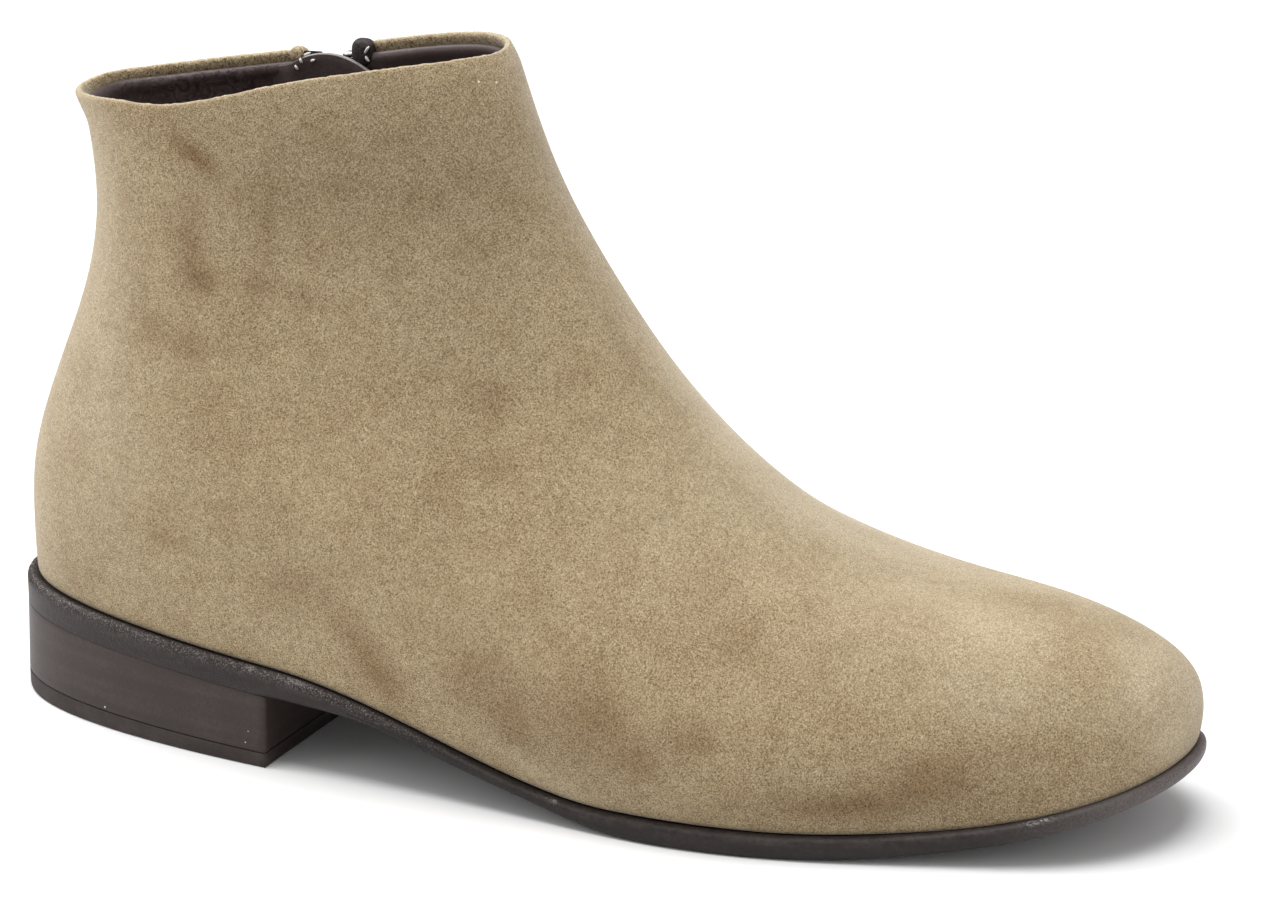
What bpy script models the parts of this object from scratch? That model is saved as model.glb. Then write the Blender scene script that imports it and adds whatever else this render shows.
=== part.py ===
# Low heel ankle boot for the right foot: upper, sole, heel, insole and inside zip.
#
# Working sizes are millimetres. x runs from the back of the heel (0) to the toe, the lateral
# side of the foot is at -y, the medial side at +y, and the floor is z = 0. The finished pieces
# hang under one empty that brings the middle of the boot's footprint to the origin, in metres.

from collections import namedtuple

import bmesh
import bpy
import numpy as np

MM = 0.001
CLEARANCE = 0.3

# Sole and heel
OUTSOLE_LENGTH = 260.0
HEEL_BACK_RADIUS = 25.0
TOE_RADIUS = 27.0
TOE_SWING = 4.0
TOE_SWING_POWER = 6
SEAT_HEIGHT_BACK = 27.0
SEAT_HEIGHT_BREAST = 21.4
BREAST_X = 70.5
BREAST_SKEW_DEG = 6.0
SOLE_THICKNESS = 4.6
BALL_FLAT_START = 149.0
BALL_FLAT_END = 178.0
TOE_SPRING = 14.0
TOE_SPRING_POWER = 2.2
WELT_WIDTH = 2.4
WAIST_BEVEL_WIDTH = 9.0
TOP_LIFT_THICKNESS = 5.0
HEEL_TAPER = 0.8
INSOLE_THICKNESS = 3.0
INSOLE_MARGIN = 0.5

# Upper
WALL = 2.4
COLLAR_WAVE_START = 0.8

# Inside zip
ZIP_TOP_X = 63.0
ZIP_FOOT_X = 66.0
ZIP_FOOT_LEVEL = 0.2
SLIDER_LEVEL = 0.926
SLOT_HALF_WIDTH = 4.0
SLOT_HALF_WIDTH_TOP = 6.0
SLOT_FOOT_STEP = 0.008
CHAIN_FOOT_LIFT = 0.024
TAPE_TOP_LEVEL = 0.992
TEETH_TOP_LEVEL = 0.985
TAPE_WIDTH = 9.0
TAPE_THICKNESS = 0.8
TEETH_HALF_WIDTH = 2.6
TEETH_ROW_WIDTH = 2.2
TEETH_DEPTH = 0.5
GUARD_HALF_WIDTH = 14.0
GUARD_THICKNESS = 1.2
GUARD_TOP_DROP = 0.012
GUARD_TOP_ARCH = 0.077
GUARD_PEAK_SHARE = 0.3
SLIDER_LENGTH = 10.0
SLIDER_HALF_WIDTH_TOP = 3.5
SLIDER_HALF_WIDTH_FOOT = 2.7
SLIDER_DEPTH = 2.0
SLIDER_PROUD = 1.0
SLIDER_ROOM = 1.2
BRIDGE_HALF_LENGTH = 2.6
BRIDGE_HALF_WIDTH = 0.9
BRIDGE_LEG = 1.2
BRIDGE_HOLE_HEIGHT = 2.0
BRIDGE_TOP = 0.9
PULL_LENGTH = 23.0
PULL_THICKNESS = 1.2
PULL_BAR = 1.0
PULL_WINDOW_LENGTH = 3.8
PULL_WINDOW_HALF_WIDTH = 1.4
PULL_HALF_WIDTH_EYE = 2.6
PULL_HALF_WIDTH_FOOT = 3.0

# Mesh fineness
SOLE_STATIONS = 64
HEEL_STATIONS = 14
UPPER_LEVELS = 25
COLUMNS_ZIP_TO_TOE = 21
COLUMNS_LATERAL = 38
COLUMNS_HEEL_TO_ZIP = 10
ZIP_ROWS = 20
TAPE_COLUMNS = 3
TEETH_COLUMNS = 1
OPEN_TEETH_ROWS = 3
GUARD_COLUMNS = 6
PULL_ROUND_POINTS = 9
SHARP_EDGE_DEG = 40
OUTLINE_KNOTS = 15
OUTLINE_SAMPLES = 721
ZIP_SAMPLES = 401
BREAST_SAMPLES = 2001
LEVEL_KEEP_OFF = 0.024
TINY_ANGLE = 1e-3
END_ANGLE = 0.02
TINY_LEVEL = 1e-3

SolePlan = namedtuple("SolePlan", "x lateral medial")
SOLE_PLAN = [
    SolePlan(16.0, 21.8, 21.5),
    SolePlan(45.0, 31.0, 29.0),
    SolePlan(74.0, 35.4, 27.5),
    SolePlan(104.0, 38.0, 24.0),
    SolePlan(134.0, 41.6, 29.8),
    SolePlan(164.0, 44.5, 39.5),
    SolePlan(190.0, 41.4, 42.3),
    SolePlan(215.0, 34.8, 38.2),
    SolePlan(240.0, 25.8, 27.5),
]

SoleEdge = namedtuple("SoleEdge", "x thickness")
SOLE_EDGE = [
    SoleEdge(0.0, 6.5),
    SoleEdge(70.0, 5.6),
    SoleEdge(100.0, 2.9),
    SoleEdge(128.0, 2.4),
    SoleEdge(158.0, SOLE_THICKNESS),
    SoleEdge(BALL_FLAT_END, SOLE_THICKNESS),
    SoleEdge(OUTSOLE_LENGTH, 3.6),
]

# One row for each level of the upper above the feather line. A level is a closed ring from
# back_x to front_x; the lifts are heights above the seat at its two ends, follow says how much
# of the sole's arch it keeps, sole_share how much of the sole's plan; the half-widths are at
# the four STATIONS along the ring, and the radii round its two ends.
Ring = namedtuple("Ring", "name back_x back_lift front_x front_lift follow sole_share "
                          "back_radius heel waist ball toe front_radius")
RINGS = [
    Ring("wall", 2.6, 13, 258.6, 10, 1.0, 1.0, 26, 29.5, 30.5, 42.0, 36.3, 25),
    Ring("shoulder", 3.6, 26, 249.8, 21.5, 0.85, 0.85, 27, 30.5, 32.0, 40.4, 33.7, 23),
    Ring("toe_top", 7.0, 39, 225.0, 32.1, 0.65, 0.65, 26, 30.0, 32.2, 36.6, 30.2, 19),
    Ring("vamp", 12.5, 53, 185.0, 40.6, 0.45, 0.45, 24, 28.5, 30.8, 34.3, 31.0, 21),
    Ring("instep", 18.0, 68, 151.0, 64.5, 0.25, 0.25, 21, 26.5, 29.0, 30.0, 26.0, 22),
    Ring("ankle", 20.8, 82, 130.5, 90.5, 0.10, 0.10, 19, 24.8, 27.6, 27.4, 22.6, 20),
    Ring("shaft", 20.5, 95, 119.5, 112, 0, 0, 16, 23.2, 26.6, 25.8, 21.2, 18),
    Ring("collar", 17.8, 108, 113.0, 131.5, 0, 0, 10, 20.6, 25.4, 24.5, 20.5, 17),
]
STATIONS = np.array([0.17, 0.40, 0.63, 0.80])

# Rise and fall of the collar edge around the leg: 0 back, 90 lateral, 180 front, 270 medial.
CollarWave = namedtuple("CollarWave", "angle_deg lift")
COLLAR_WAVE = [
    CollarWave(0, 0.2),
    CollarWave(20, 0.0),
    CollarWave(40, -0.2),
    CollarWave(52, -0.5),
    CollarWave(68, -1.5),
    CollarWave(80, -0.95),
    CollarWave(100, 0.95),
    CollarWave(125, 1.5),
    CollarWave(150, 1.15),
    CollarWave(180, 0.7),
    CollarWave(205, 1.0),
    CollarWave(235, 0.55),
    CollarWave(270, -0.9),
    CollarWave(300, -1.2),
    CollarWave(330, -0.2),
    CollarWave(345, 0.4),
    CollarWave(360, 0.2),
]


# Curves

def natural_spline(knots, values):
    """A smooth curve through values (one row for each knot), as a function of the knot's axis."""
    knots = np.asarray(knots, float)
    values = np.asarray(values, float).reshape(len(knots), -1)
    step = np.diff(knots)
    slope = np.diff(values, axis=0) / step[:, None]
    system = np.eye(len(knots))
    bend = np.zeros_like(values)
    for i in range(1, len(knots) - 1):
        system[i, i - 1:i + 2] = step[i - 1], 2 * (step[i - 1] + step[i]), step[i]
        bend[i] = 6 * (slope[i] - slope[i - 1])
    bend = np.linalg.solve(system, bend)

    def curve(at):
        at = np.asarray(at, float)
        k = np.clip(np.searchsorted(knots, at) - 1, 0, len(knots) - 2)
        after = (at - knots[k])[..., None]
        before = (knots[k + 1] - at)[..., None]
        span = step[k][..., None]
        return ((bend[k] * before ** 3 + bend[k + 1] * after ** 3) / (6 * span)
                + (values[k] / span - bend[k] * span / 6) * before
                + (values[k + 1] / span - bend[k + 1] * span / 6) * after)

    return curve


def ease(t):
    t = np.clip(t, 0, 1)
    return t * t * (3 - 2 * t)


def angle_of_share(share):
    """Angle along a ring, 0 at the back and pi at the front, for a share of its length."""
    return np.arccos(np.clip(1 - 2 * np.asarray(share, float), -1, 1))


def share_of_angle(angle):
    return (1 - np.cos(angle)) / 2


def unit(vectors):
    return vectors / np.linalg.norm(vectors, axis=-1, keepdims=True)


# Sole lines

def seat_height(x):
    """Top of the outsole: a straight seat, an arch, a flat ball and a toe spring."""
    x = np.asarray(x, float)
    slope = (SEAT_HEIGHT_BREAST - SEAT_HEIGHT_BACK) / BREAST_X
    seat = SEAT_HEIGHT_BACK + slope * x
    arch_length = BALL_FLAT_START - BREAST_X
    t = np.clip((x - BREAST_X) / arch_length, 0, 1)
    drop = SEAT_HEIGHT_BREAST - SOLE_THICKNESS
    arch = SOLE_THICKNESS + (2 * t ** 3 - 3 * t ** 2 + 1) * drop
    arch = arch + (t ** 3 - 2 * t ** 2 + t) * slope * arch_length
    reach = np.clip((x - BALL_FLAT_END) / (OUTSOLE_LENGTH - BALL_FLAT_END), 0, None)
    spring = SOLE_THICKNESS + TOE_SPRING * reach ** TOE_SPRING_POWER
    return np.where(x < BREAST_X, seat, np.where(x < BALL_FLAT_START, arch, spring))


def edge_thickness(x):
    """Thickness of the sole's edge, thinned at the waist."""
    rows = np.array(SOLE_EDGE)
    x = np.asarray(x, float)
    k = np.clip(np.searchsorted(rows[:, 0], x) - 1, 0, len(rows) - 2)
    t = (x - rows[k, 0]) / (rows[k + 1, 0] - rows[k, 0])
    return rows[k, 1] + (rows[k + 1, 1] - rows[k, 1]) * ease(t)


def sole_swing(share):
    """Sideways place of the sole's middle line, which leans inwards at the toe."""
    return TOE_SWING * np.asarray(share) ** TOE_SWING_POWER


def sole_width_curve():
    """Lateral and medial half-width, each over the sine of the ring's angle."""
    plan = np.array(SOLE_PLAN)
    share = plan[:, 0] / OUTSOLE_LENGTH
    angle = angle_of_share(share)
    lateral = (plan[:, 1] + sole_swing(share)) / np.sin(angle)
    medial = (plan[:, 2] - sole_swing(share)) / np.sin(angle)
    back, front = (np.sqrt(radius * OUTSOLE_LENGTH / 2) for radius in (HEEL_BACK_RADIUS, TOE_RADIUS))
    knots = np.concatenate([[0], angle, [np.pi]])
    sides = [np.concatenate([[back], side, [front]]) for side in (lateral, medial)]
    return natural_spline(knots, np.stack(sides, -1))


SOLE_WIDTH = sole_width_curve()


def sole_plan_point(angle, side, inset=0.0):
    """Plan points of the sole at ring angles on one side (-1 lateral, 1 medial), moved in."""

    def edge(at):
        bent = np.abs(np.where(at > np.pi, 2 * np.pi - at, at))
        hand = np.where((at < 0) | (at > np.pi), -side, side)
        width = SOLE_WIDTH(bent)
        half = np.where(hand < 0, width[..., 0], width[..., 1])
        share = share_of_angle(bent)
        return np.stack([OUTSOLE_LENGTH * share, sole_swing(share) + hand * half * np.sin(bent)], -1)

    angle = np.asarray(angle, float)
    along = unit(edge(angle + TINY_ANGLE) - edge(angle - TINY_ANGLE))
    inward = np.stack([along[..., 1], -along[..., 0]], -1) * side
    return edge(angle) + inset * inward


# Upper's outer face

FEATHER_BACK, FEATHER_FRONT = sole_plan_point(np.array([0.0, np.pi]), -1, WELT_WIDTH)[:, 0]


def feather_curve():
    """The feather line's lateral and medial half-widths about its swing, by ring angle."""
    dense = np.linspace(0, np.pi, OUTLINE_SAMPLES)
    knots = np.linspace(0, np.pi, OUTLINE_KNOTS)
    inner = knots.copy()
    inner[0], inner[-1] = END_ANGLE, np.pi - END_ANGLE
    sides = []
    for side in (-1, 1):
        points = sole_plan_point(dense, side, WELT_WIDTH)
        share = (points[:, 0] - FEATHER_BACK) / (FEATHER_FRONT - FEATHER_BACK)
        own_angle = angle_of_share(share)
        y = np.interp(inner, own_angle, points[:, 1])
        sides.append(side * (y - sole_swing(share_of_angle(inner))) / np.sin(inner))
    return natural_spline(knots, np.stack(sides, -1))


FEATHER_WIDTH = feather_curve()


def level_curve():
    """The rings as one smooth table: what each level adds to its share of the feather line."""
    station_angle = angle_of_share(STATIONS)
    feather = FEATHER_WIDTH(station_angle).mean(-1)
    feather_ends = FEATHER_WIDTH(np.array([0, np.pi])).mean(-1)
    rows = [[FEATHER_BACK, CLEARANCE, FEATHER_FRONT, CLEARANCE, 1, 1] + [0] * (len(STATIONS) + 2)]
    for ring in RINGS:
        length = ring.front_x - ring.back_x
        half = np.array([ring.heel, ring.waist, ring.ball, ring.toe]) / np.sin(station_angle)
        ends = np.sqrt(np.array([ring.back_radius, ring.front_radius]) * length / 2)
        added_half = half - ring.sole_share * feather
        added_ends = ends - ring.sole_share * feather_ends
        rows.append([ring.back_x, ring.back_lift, ring.front_x, ring.front_lift, ring.follow,
                     ring.sole_share, added_ends[0], *added_half, added_ends[1]])
    return natural_spline(np.linspace(0, 1, len(rows)), rows)


LEVEL = level_curve()
STATION_BLEND = natural_spline(np.concatenate([[0], angle_of_share(STATIONS), [np.pi]]),
                               np.eye(len(STATIONS) + 2))
WAVE = natural_spline(np.radians([row.angle_deg for row in COLLAR_WAVE]), [row.lift for row in COLLAR_WAVE])


def upper_point(around, level):
    """Outer face of the upper: around runs 0 back, pi/2 lateral, pi front; level 0 to 1 is up."""
    around = np.mod(around, 2 * np.pi)
    row = LEVEL(level)
    back_x, back_lift, front_x, front_lift, follow, sole_share = (row[..., i] for i in range(6))
    lateral = around <= np.pi
    angle = np.where(lateral, around, 2 * np.pi - around)
    side = np.where(lateral, -1.0, 1.0)
    share = share_of_angle(angle)
    x = back_x + (front_x - back_x) * share
    feather = FEATHER_WIDTH(angle)
    feather = np.where(lateral, feather[..., 0], feather[..., 1])
    added = (STATION_BLEND(angle) * row[..., 6:]).sum(-1)
    y = sole_share * sole_swing(share) + side * np.sin(angle) * (sole_share * feather + added)
    seat_back, seat_front = seat_height(FEATHER_BACK), seat_height(FEATHER_FRONT)
    over_sole = np.clip(x, FEATHER_BACK, FEATHER_FRONT)
    chord_share = (over_sole - FEATHER_BACK) / (FEATHER_FRONT - FEATHER_BACK)
    arch = seat_height(over_sole) - (seat_back + (seat_front - seat_back) * chord_share)
    back_z, front_z = seat_back + back_lift, seat_front + front_lift
    z = back_z + (front_z - back_z) * share + follow * arch
    near_collar = ease((level - COLLAR_WAVE_START) / (1 - COLLAR_WAVE_START))
    z = z + near_collar * WAVE(around)[..., 0]
    return np.stack([x, y, z], -1)


def upper_normal(around, level):
    """Direction out of the upper's outer face."""
    level_up = np.minimum(level + TINY_LEVEL, 1)
    level_down = np.maximum(level - TINY_LEVEL, 0)
    ahead = upper_point(around + TINY_ANGLE, level) - upper_point(around - TINY_ANGLE, level)
    upward = upper_point(around, level_up) - upper_point(around, level_down)
    return unit(np.cross(ahead, upward))


def wall_point(around, level, depth):
    """A point inside the upper's wall; the feather edge is cut level with the sole."""
    outer = upper_point(around, level)
    normal = upper_normal(around, level)
    at_feather = (np.asarray(level) <= 0)[..., None]
    flat = normal * np.array([1, 1, 0])
    normal = np.where(at_feather, unit(flat), normal)
    point = outer - depth * normal
    edge_z = seat_height(np.clip(point[..., 0], 0, OUTSOLE_LENGTH)) + CLEARANCE
    point[..., 2] = np.where(at_feather[..., 0], edge_z, point[..., 2])
    return point


# Zip lines on the medial wall

def zip_x(level):
    rise = (np.asarray(level, float) - ZIP_FOOT_LEVEL) / (1 - ZIP_FOOT_LEVEL)
    return ZIP_FOOT_X + (ZIP_TOP_X - ZIP_FOOT_X) * np.clip(rise, 0, 1)


def zip_spread(level):
    """How far the two halves of the zip have parted, 0 below the slider and 1 at the collar."""
    return np.clip((np.asarray(level, float) - SLIDER_LEVEL) / (1 - SLIDER_LEVEL), 0, 1)


def slot_half_width(level):
    wide = SLOT_HALF_WIDTH + (SLOT_HALF_WIDTH_TOP - SLOT_HALF_WIDTH) * zip_spread(level)
    return np.where(np.asarray(level) > ZIP_FOOT_LEVEL, wide, 0.0)


def medial_around(x, level):
    """Ring angle of the medial wall at a given x."""
    row = LEVEL(level)
    share = (x - row[..., 0]) / (row[..., 2] - row[..., 0])
    return 2 * np.pi - angle_of_share(share)


def zip_level(height):
    """Level at which the middle of the zip reaches a height."""
    levels = np.linspace(ZIP_FOOT_LEVEL, 1, ZIP_SAMPLES)
    middle = upper_point(medial_around(zip_x(levels), levels), levels)
    return float(np.interp(height, middle[:, 2], levels))


# Mesh builders

def finish_mesh(name, points, faces, material):
    """One object from working points, with its faces pointing out."""
    mesh = bpy.data.meshes.new(name)
    mesh.from_pydata((np.asarray(points) * MM).tolist(), [], faces)
    work = bmesh.new()
    work.from_mesh(mesh)
    bmesh.ops.recalc_face_normals(work, faces=work.faces)
    if work.calc_volume(signed=True) < 0:
        bmesh.ops.reverse_faces(work, faces=work.faces)
    work.to_mesh(mesh)
    work.free()
    mesh.shade_smooth()
    mesh.set_sharp_from_angle(angle=np.radians(SHARP_EDGE_DEG))
    mesh.materials.append(material)
    piece = bpy.data.objects.new(name, mesh)
    bpy.context.collection.objects.link(piece)
    return piece


def plain_finish(name, colour, roughness, metallic=0.0):
    material = bpy.data.materials.new(name)
    material.use_nodes = True
    shader = material.node_tree.nodes["Principled BSDF"]
    shader.inputs["Base Color"].default_value = (*colour, 1)
    shader.inputs["Roughness"].default_value = roughness
    shader.inputs["Metallic"].default_value = metallic
    return material


def ladder_solid(name, layers, material):
    """A solid from stacked outlines. Each layer holds a lateral and a medial row of points that
    meet at their shared first point; faces run across the first and last layer and round the sides."""
    points = []
    index = []
    for lateral, medial in layers:
        closed_toe = np.allclose(lateral[-1], medial[-1])
        ids = []
        for row_number, row in enumerate((lateral, medial)):
            row_ids = []
            for k, point in enumerate(row):
                shared = row_number == 1 and (k == 0 or (closed_toe and k == len(row) - 1))
                if shared:
                    row_ids.append(ids[0][k])
                    continue
                row_ids.append(len(points))
                points.append(point)
            ids.append(row_ids)
        index.append(ids)
    faces = []
    for ids in (index[0], index[-1]):
        lateral, medial = ids
        for k in range(len(lateral) - 1):
            corners = [lateral[k], lateral[k + 1], medial[k + 1], medial[k]]
            faces.append(list(dict.fromkeys(corners)))
    for low, high in zip(index[:-1], index[1:]):
        for side in range(2):
            for k in range(len(low[side]) - 1):
                faces.append([low[side][k], low[side][k + 1], high[side][k + 1], high[side][k]])
        if low[0][-1] != low[1][-1]:
            faces.append([low[0][-1], low[1][-1], high[1][-1], high[0][-1]])
    return finish_mesh(name, points, faces, material)


def plan_layer(inset, height, lateral_end=np.pi, medial_end=np.pi, stations=SOLE_STATIONS):
    """A lateral and a medial row of the sole's plan, at heights given by a function of x."""
    rows = []
    for side, end in ((-1, lateral_end), (1, medial_end)):
        plan = sole_plan_point(np.linspace(0, end, stations + 1), side, inset)
        plan[0] = sole_plan_point(np.array(0.0), -1, inset)
        if end == np.pi:
            plan[-1] = sole_plan_point(np.array(np.pi), -1, inset)
        rows.append(np.column_stack([plan, height(plan[:, 0]) + np.zeros(len(plan))]))
    return rows


def wall_strip(name, material, x_edges, levels, depths, columns, rows):
    """A closed strip in or behind the medial wall. x_edges(level) gives its two edges, levels its
    foot and its top by share of the width, and depths its outer and inner face."""
    across = np.linspace(0, 1, columns + 1)
    foot, top = levels
    rise = np.linspace(0, 1, rows + 1)[:, None]
    level = foot + (top(across)[None, :] - foot) * rise
    near, far = x_edges(level)
    x = near + (far - near) * across[None, :]
    around = medial_around(x, level)
    faces_of_points = [wall_point(around, level, depth).reshape(-1, 3) for depth in depths]
    count = len(faces_of_points[0])
    width = columns + 1
    faces = []
    for i in range(rows):
        for j in range(columns):
            a = i * width + j
            quad = [a, a + 1, a + width + 1, a + width]
            faces.append(quad)
            faces.append([count + k for k in reversed(quad)])
    border = list(range(width))
    border += [i * width + columns for i in range(1, rows + 1)]
    border += [rows * width + j for j in range(columns - 1, -1, -1)]
    border += [i * width for i in range(rows - 1, 0, -1)]
    for a, b in zip(border, border[1:] + border[:1]):
        faces.append([a, b, count + b, count + a])
    return finish_mesh(name, np.vstack(faces_of_points), faces, material)


def prism(name, material, outline, low, high, place):
    """A flat outline pushed from low to high, set by place(across, down, out)."""
    count = len(outline)
    points = [place(across, down, out) for out in (low, high) for across, down in outline]
    faces = [list(range(count)), list(range(count, 2 * count))]
    for k in range(count):
        nxt = (k + 1) % count
        faces.append([k, nxt, count + nxt, count + k])
    return finish_mesh(name, points, faces, material)


def cut_or_join(piece, tool, operation):
    """Leave a live Boolean on the piece; its tool is kept as a hidden guide."""
    tool.hide_render = True
    tool.display_type = "WIRE"
    change = piece.modifiers.new(operation.lower(), "BOOLEAN")
    change.operation = operation
    change.solver = "EXACT"
    change.object = tool


# Pieces

def make_outsole(material):
    """Edge at the welt's full width; the walking face is thick in the middle, bevelled at the waist."""

    def edge_face(x):
        return seat_height(x) - edge_thickness(x)

    def walking_face(x):
        return seat_height(x) - np.maximum(edge_thickness(x), SOLE_THICKNESS)

    layers = [
        plan_layer(0, seat_height),
        plan_layer(0, edge_face),
        plan_layer(WAIST_BEVEL_WIDTH, walking_face),
    ]
    return ladder_solid("outsole", layers, material)


def breast_angles():
    """Ring angles where the skewed breast line meets the lateral and the medial edge."""
    angles = np.linspace(0, np.pi, BREAST_SAMPLES)
    start_y = sole_plan_point(angle_of_share(BREAST_X / OUTSOLE_LENGTH), -1)[1]
    ends = []
    for side in (-1, 1):
        plan = sole_plan_point(angles, side)
        breast = BREAST_X + np.tan(np.radians(BREAST_SKEW_DEG)) * (plan[:, 1] - start_y)
        ends.append(angles[np.argmax(plan[:, 0] > breast)])
    return ends


def make_heel(block_material, lift_material):
    """The block fills the space between the sole's seat and the top lift."""
    lateral_end, medial_end = breast_angles()

    def layer(inset, height):
        return plan_layer(inset, height, lateral_end, medial_end, HEEL_STATIONS)

    def under_sole(x):
        return seat_height(x) - edge_thickness(x) - CLEARANCE

    def flat(z):
        return lambda x: np.full_like(x, z)

    block = [layer(0, under_sole), layer(HEEL_TAPER, flat(TOP_LIFT_THICKNESS + CLEARANCE))]
    lift = [layer(HEEL_TAPER, flat(TOP_LIFT_THICKNESS)), layer(HEEL_TAPER, flat(0.0))]
    ladder_solid("heel_block", block, block_material)
    ladder_solid("heel_top_lift", lift, lift_material)


def make_insole(material):
    """The board lies on the sole, just inside the upper's wall."""
    inset = WELT_WIDTH + WALL + INSOLE_MARGIN

    def face(lift):
        return lambda x: seat_height(x) + lift

    layers = [plan_layer(inset, face(CLEARANCE + INSOLE_THICKNESS)), plan_layer(inset, face(CLEARANCE))]
    return ladder_solid("insole", layers, material)


def upper_levels():
    """Even levels, with one just below the foot of the zip slot."""
    even = np.linspace(0, 1, UPPER_LEVELS)
    near_foot = np.abs(even - ZIP_FOOT_LEVEL) < LEVEL_KEEP_OFF
    slot = [ZIP_FOOT_LEVEL, ZIP_FOOT_LEVEL + SLOT_FOOT_STEP]
    return np.sort(np.concatenate([even[~near_foot], slot]))


def upper_columns(level):
    """Ring angles of the wrapped upper, from the front edge of the zip slot round to the back edge."""
    half = slot_half_width(level)
    front_edge = medial_around(zip_x(level) + half, level)
    back_edge = medial_around(zip_x(level) - half, level)
    return np.concatenate([
        np.linspace(front_edge, np.pi, COLUMNS_ZIP_TO_TOE, endpoint=False),
        np.linspace(np.pi, 0, COLUMNS_LATERAL, endpoint=False),
        np.linspace(2 * np.pi, back_edge, COLUMNS_HEEL_TO_ZIP + 1),
    ])


def make_upper(material):
    """One wrapped wall: closed below the zip, slit above it, open underneath and at the collar."""
    levels = upper_levels()
    points = []
    index = np.zeros((2, len(levels), COLUMNS_ZIP_TO_TOE + COLUMNS_LATERAL + COLUMNS_HEEL_TO_ZIP + 1), int)
    columns = index.shape[2]
    for face, depth in enumerate((0.0, WALL)):
        for i, level in enumerate(levels):
            around = upper_columns(level)
            ring = wall_point(around, np.full(columns, level), depth)
            closed = level <= ZIP_FOOT_LEVEL
            for j in range(columns):
                if closed and j == columns - 1:
                    index[face, i, j] = index[face, i, 0]
                    continue
                index[face, i, j] = len(points)
                points.append(ring[j])
    faces = []
    last = len(levels) - 1
    for i in range(last):
        for j in range(columns - 1):
            for face in range(2):
                grid = index[face]
                faces.append([grid[i, j], grid[i, j + 1], grid[i + 1, j + 1], grid[i + 1, j]])
    for j in range(columns - 1):
        for i in (0, last):
            faces.append([index[0, i, j], index[0, i, j + 1], index[1, i, j + 1], index[1, i, j]])
    for i in range(last):
        if levels[i + 1] > ZIP_FOOT_LEVEL:
            for j in (0, columns - 1):
                faces.append([index[0, i, j], index[0, i + 1, j], index[1, i + 1, j], index[1, i, j]])
    return finish_mesh("upper", points, [list(map(int, face)) for face in faces], material)


def make_zip(tape_material, metal_material, guard_material):
    """Tapes, teeth and guard follow the medial wall; the teeth part above the slider."""
    slider_reach = SLIDER_LENGTH / 2 + SLIDER_ROOM
    slider_z = slider_frame()[0][2]
    below_slider = zip_level(slider_z - slider_reach)
    above_slider = zip_level(slider_z + slider_reach)
    tape_depths = (WALL + CLEARANCE, WALL + CLEARANCE + TAPE_THICKNESS)
    guard_outer = tape_depths[1] + CLEARANCE
    teeth_depths = (TEETH_DEPTH, WALL)
    half_gap = CLEARANCE / 2

    def parted(level):
        return half_gap + (SLOT_HALF_WIDTH_TOP - TEETH_ROW_WIDTH) * zip_spread(level)

    def level_top(level):
        return lambda across: np.full_like(across, level)

    def guard_top(across):
        return 1 - GUARD_TOP_DROP - GUARD_TOP_ARCH * (across - GUARD_PEAK_SHARE) ** 2

    for name, side in (("back", -1), ("front", 1)):

        def tape_edges(level, side=side):
            inner = zip_x(level) + side * parted(level)
            return inner, inner + side * TAPE_WIDTH

        def teeth_edges(level, side=side):
            inner = zip_x(level) + side * parted(level)
            return inner, inner + side * TEETH_ROW_WIDTH

        tape_levels = (ZIP_FOOT_LEVEL, level_top(TAPE_TOP_LEVEL))
        teeth_levels = (above_slider, level_top(TEETH_TOP_LEVEL))
        wall_strip("zip_tape_" + name, tape_material, tape_edges, tape_levels,
                   tape_depths, TAPE_COLUMNS, ZIP_ROWS)
        wall_strip("zip_teeth_" + name, metal_material, teeth_edges, teeth_levels,
                   teeth_depths, TEETH_COLUMNS, OPEN_TEETH_ROWS)

    def about_zip(half_width):
        return lambda level: (zip_x(level) - half_width, zip_x(level) + half_width)

    chain_levels = (ZIP_FOOT_LEVEL + CHAIN_FOOT_LIFT, level_top(below_slider))
    guard_depths = (guard_outer, guard_outer + GUARD_THICKNESS)
    wall_strip("zip_chain", metal_material, about_zip(TEETH_HALF_WIDTH), chain_levels,
               teeth_depths, TEETH_COLUMNS, ZIP_ROWS)
    wall_strip("zip_guard", guard_material, about_zip(GUARD_HALF_WIDTH), (ZIP_FOOT_LEVEL, guard_top),
               guard_depths, GUARD_COLUMNS, ZIP_ROWS)


def slider_frame():
    """Middle of the slider on the wall's face, its hinge direction, and outward."""
    level = np.array(SLIDER_LEVEL)
    around = medial_around(zip_x(level), level)
    middle = upper_point(around, level)
    ahead = upper_point(around - TINY_ANGLE, level) - upper_point(around + TINY_ANGLE, level)
    axis = unit(ahead * np.array([1, 1, 0]))
    out = np.array([-axis[1], axis[0], 0])
    return middle, axis, out


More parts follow.
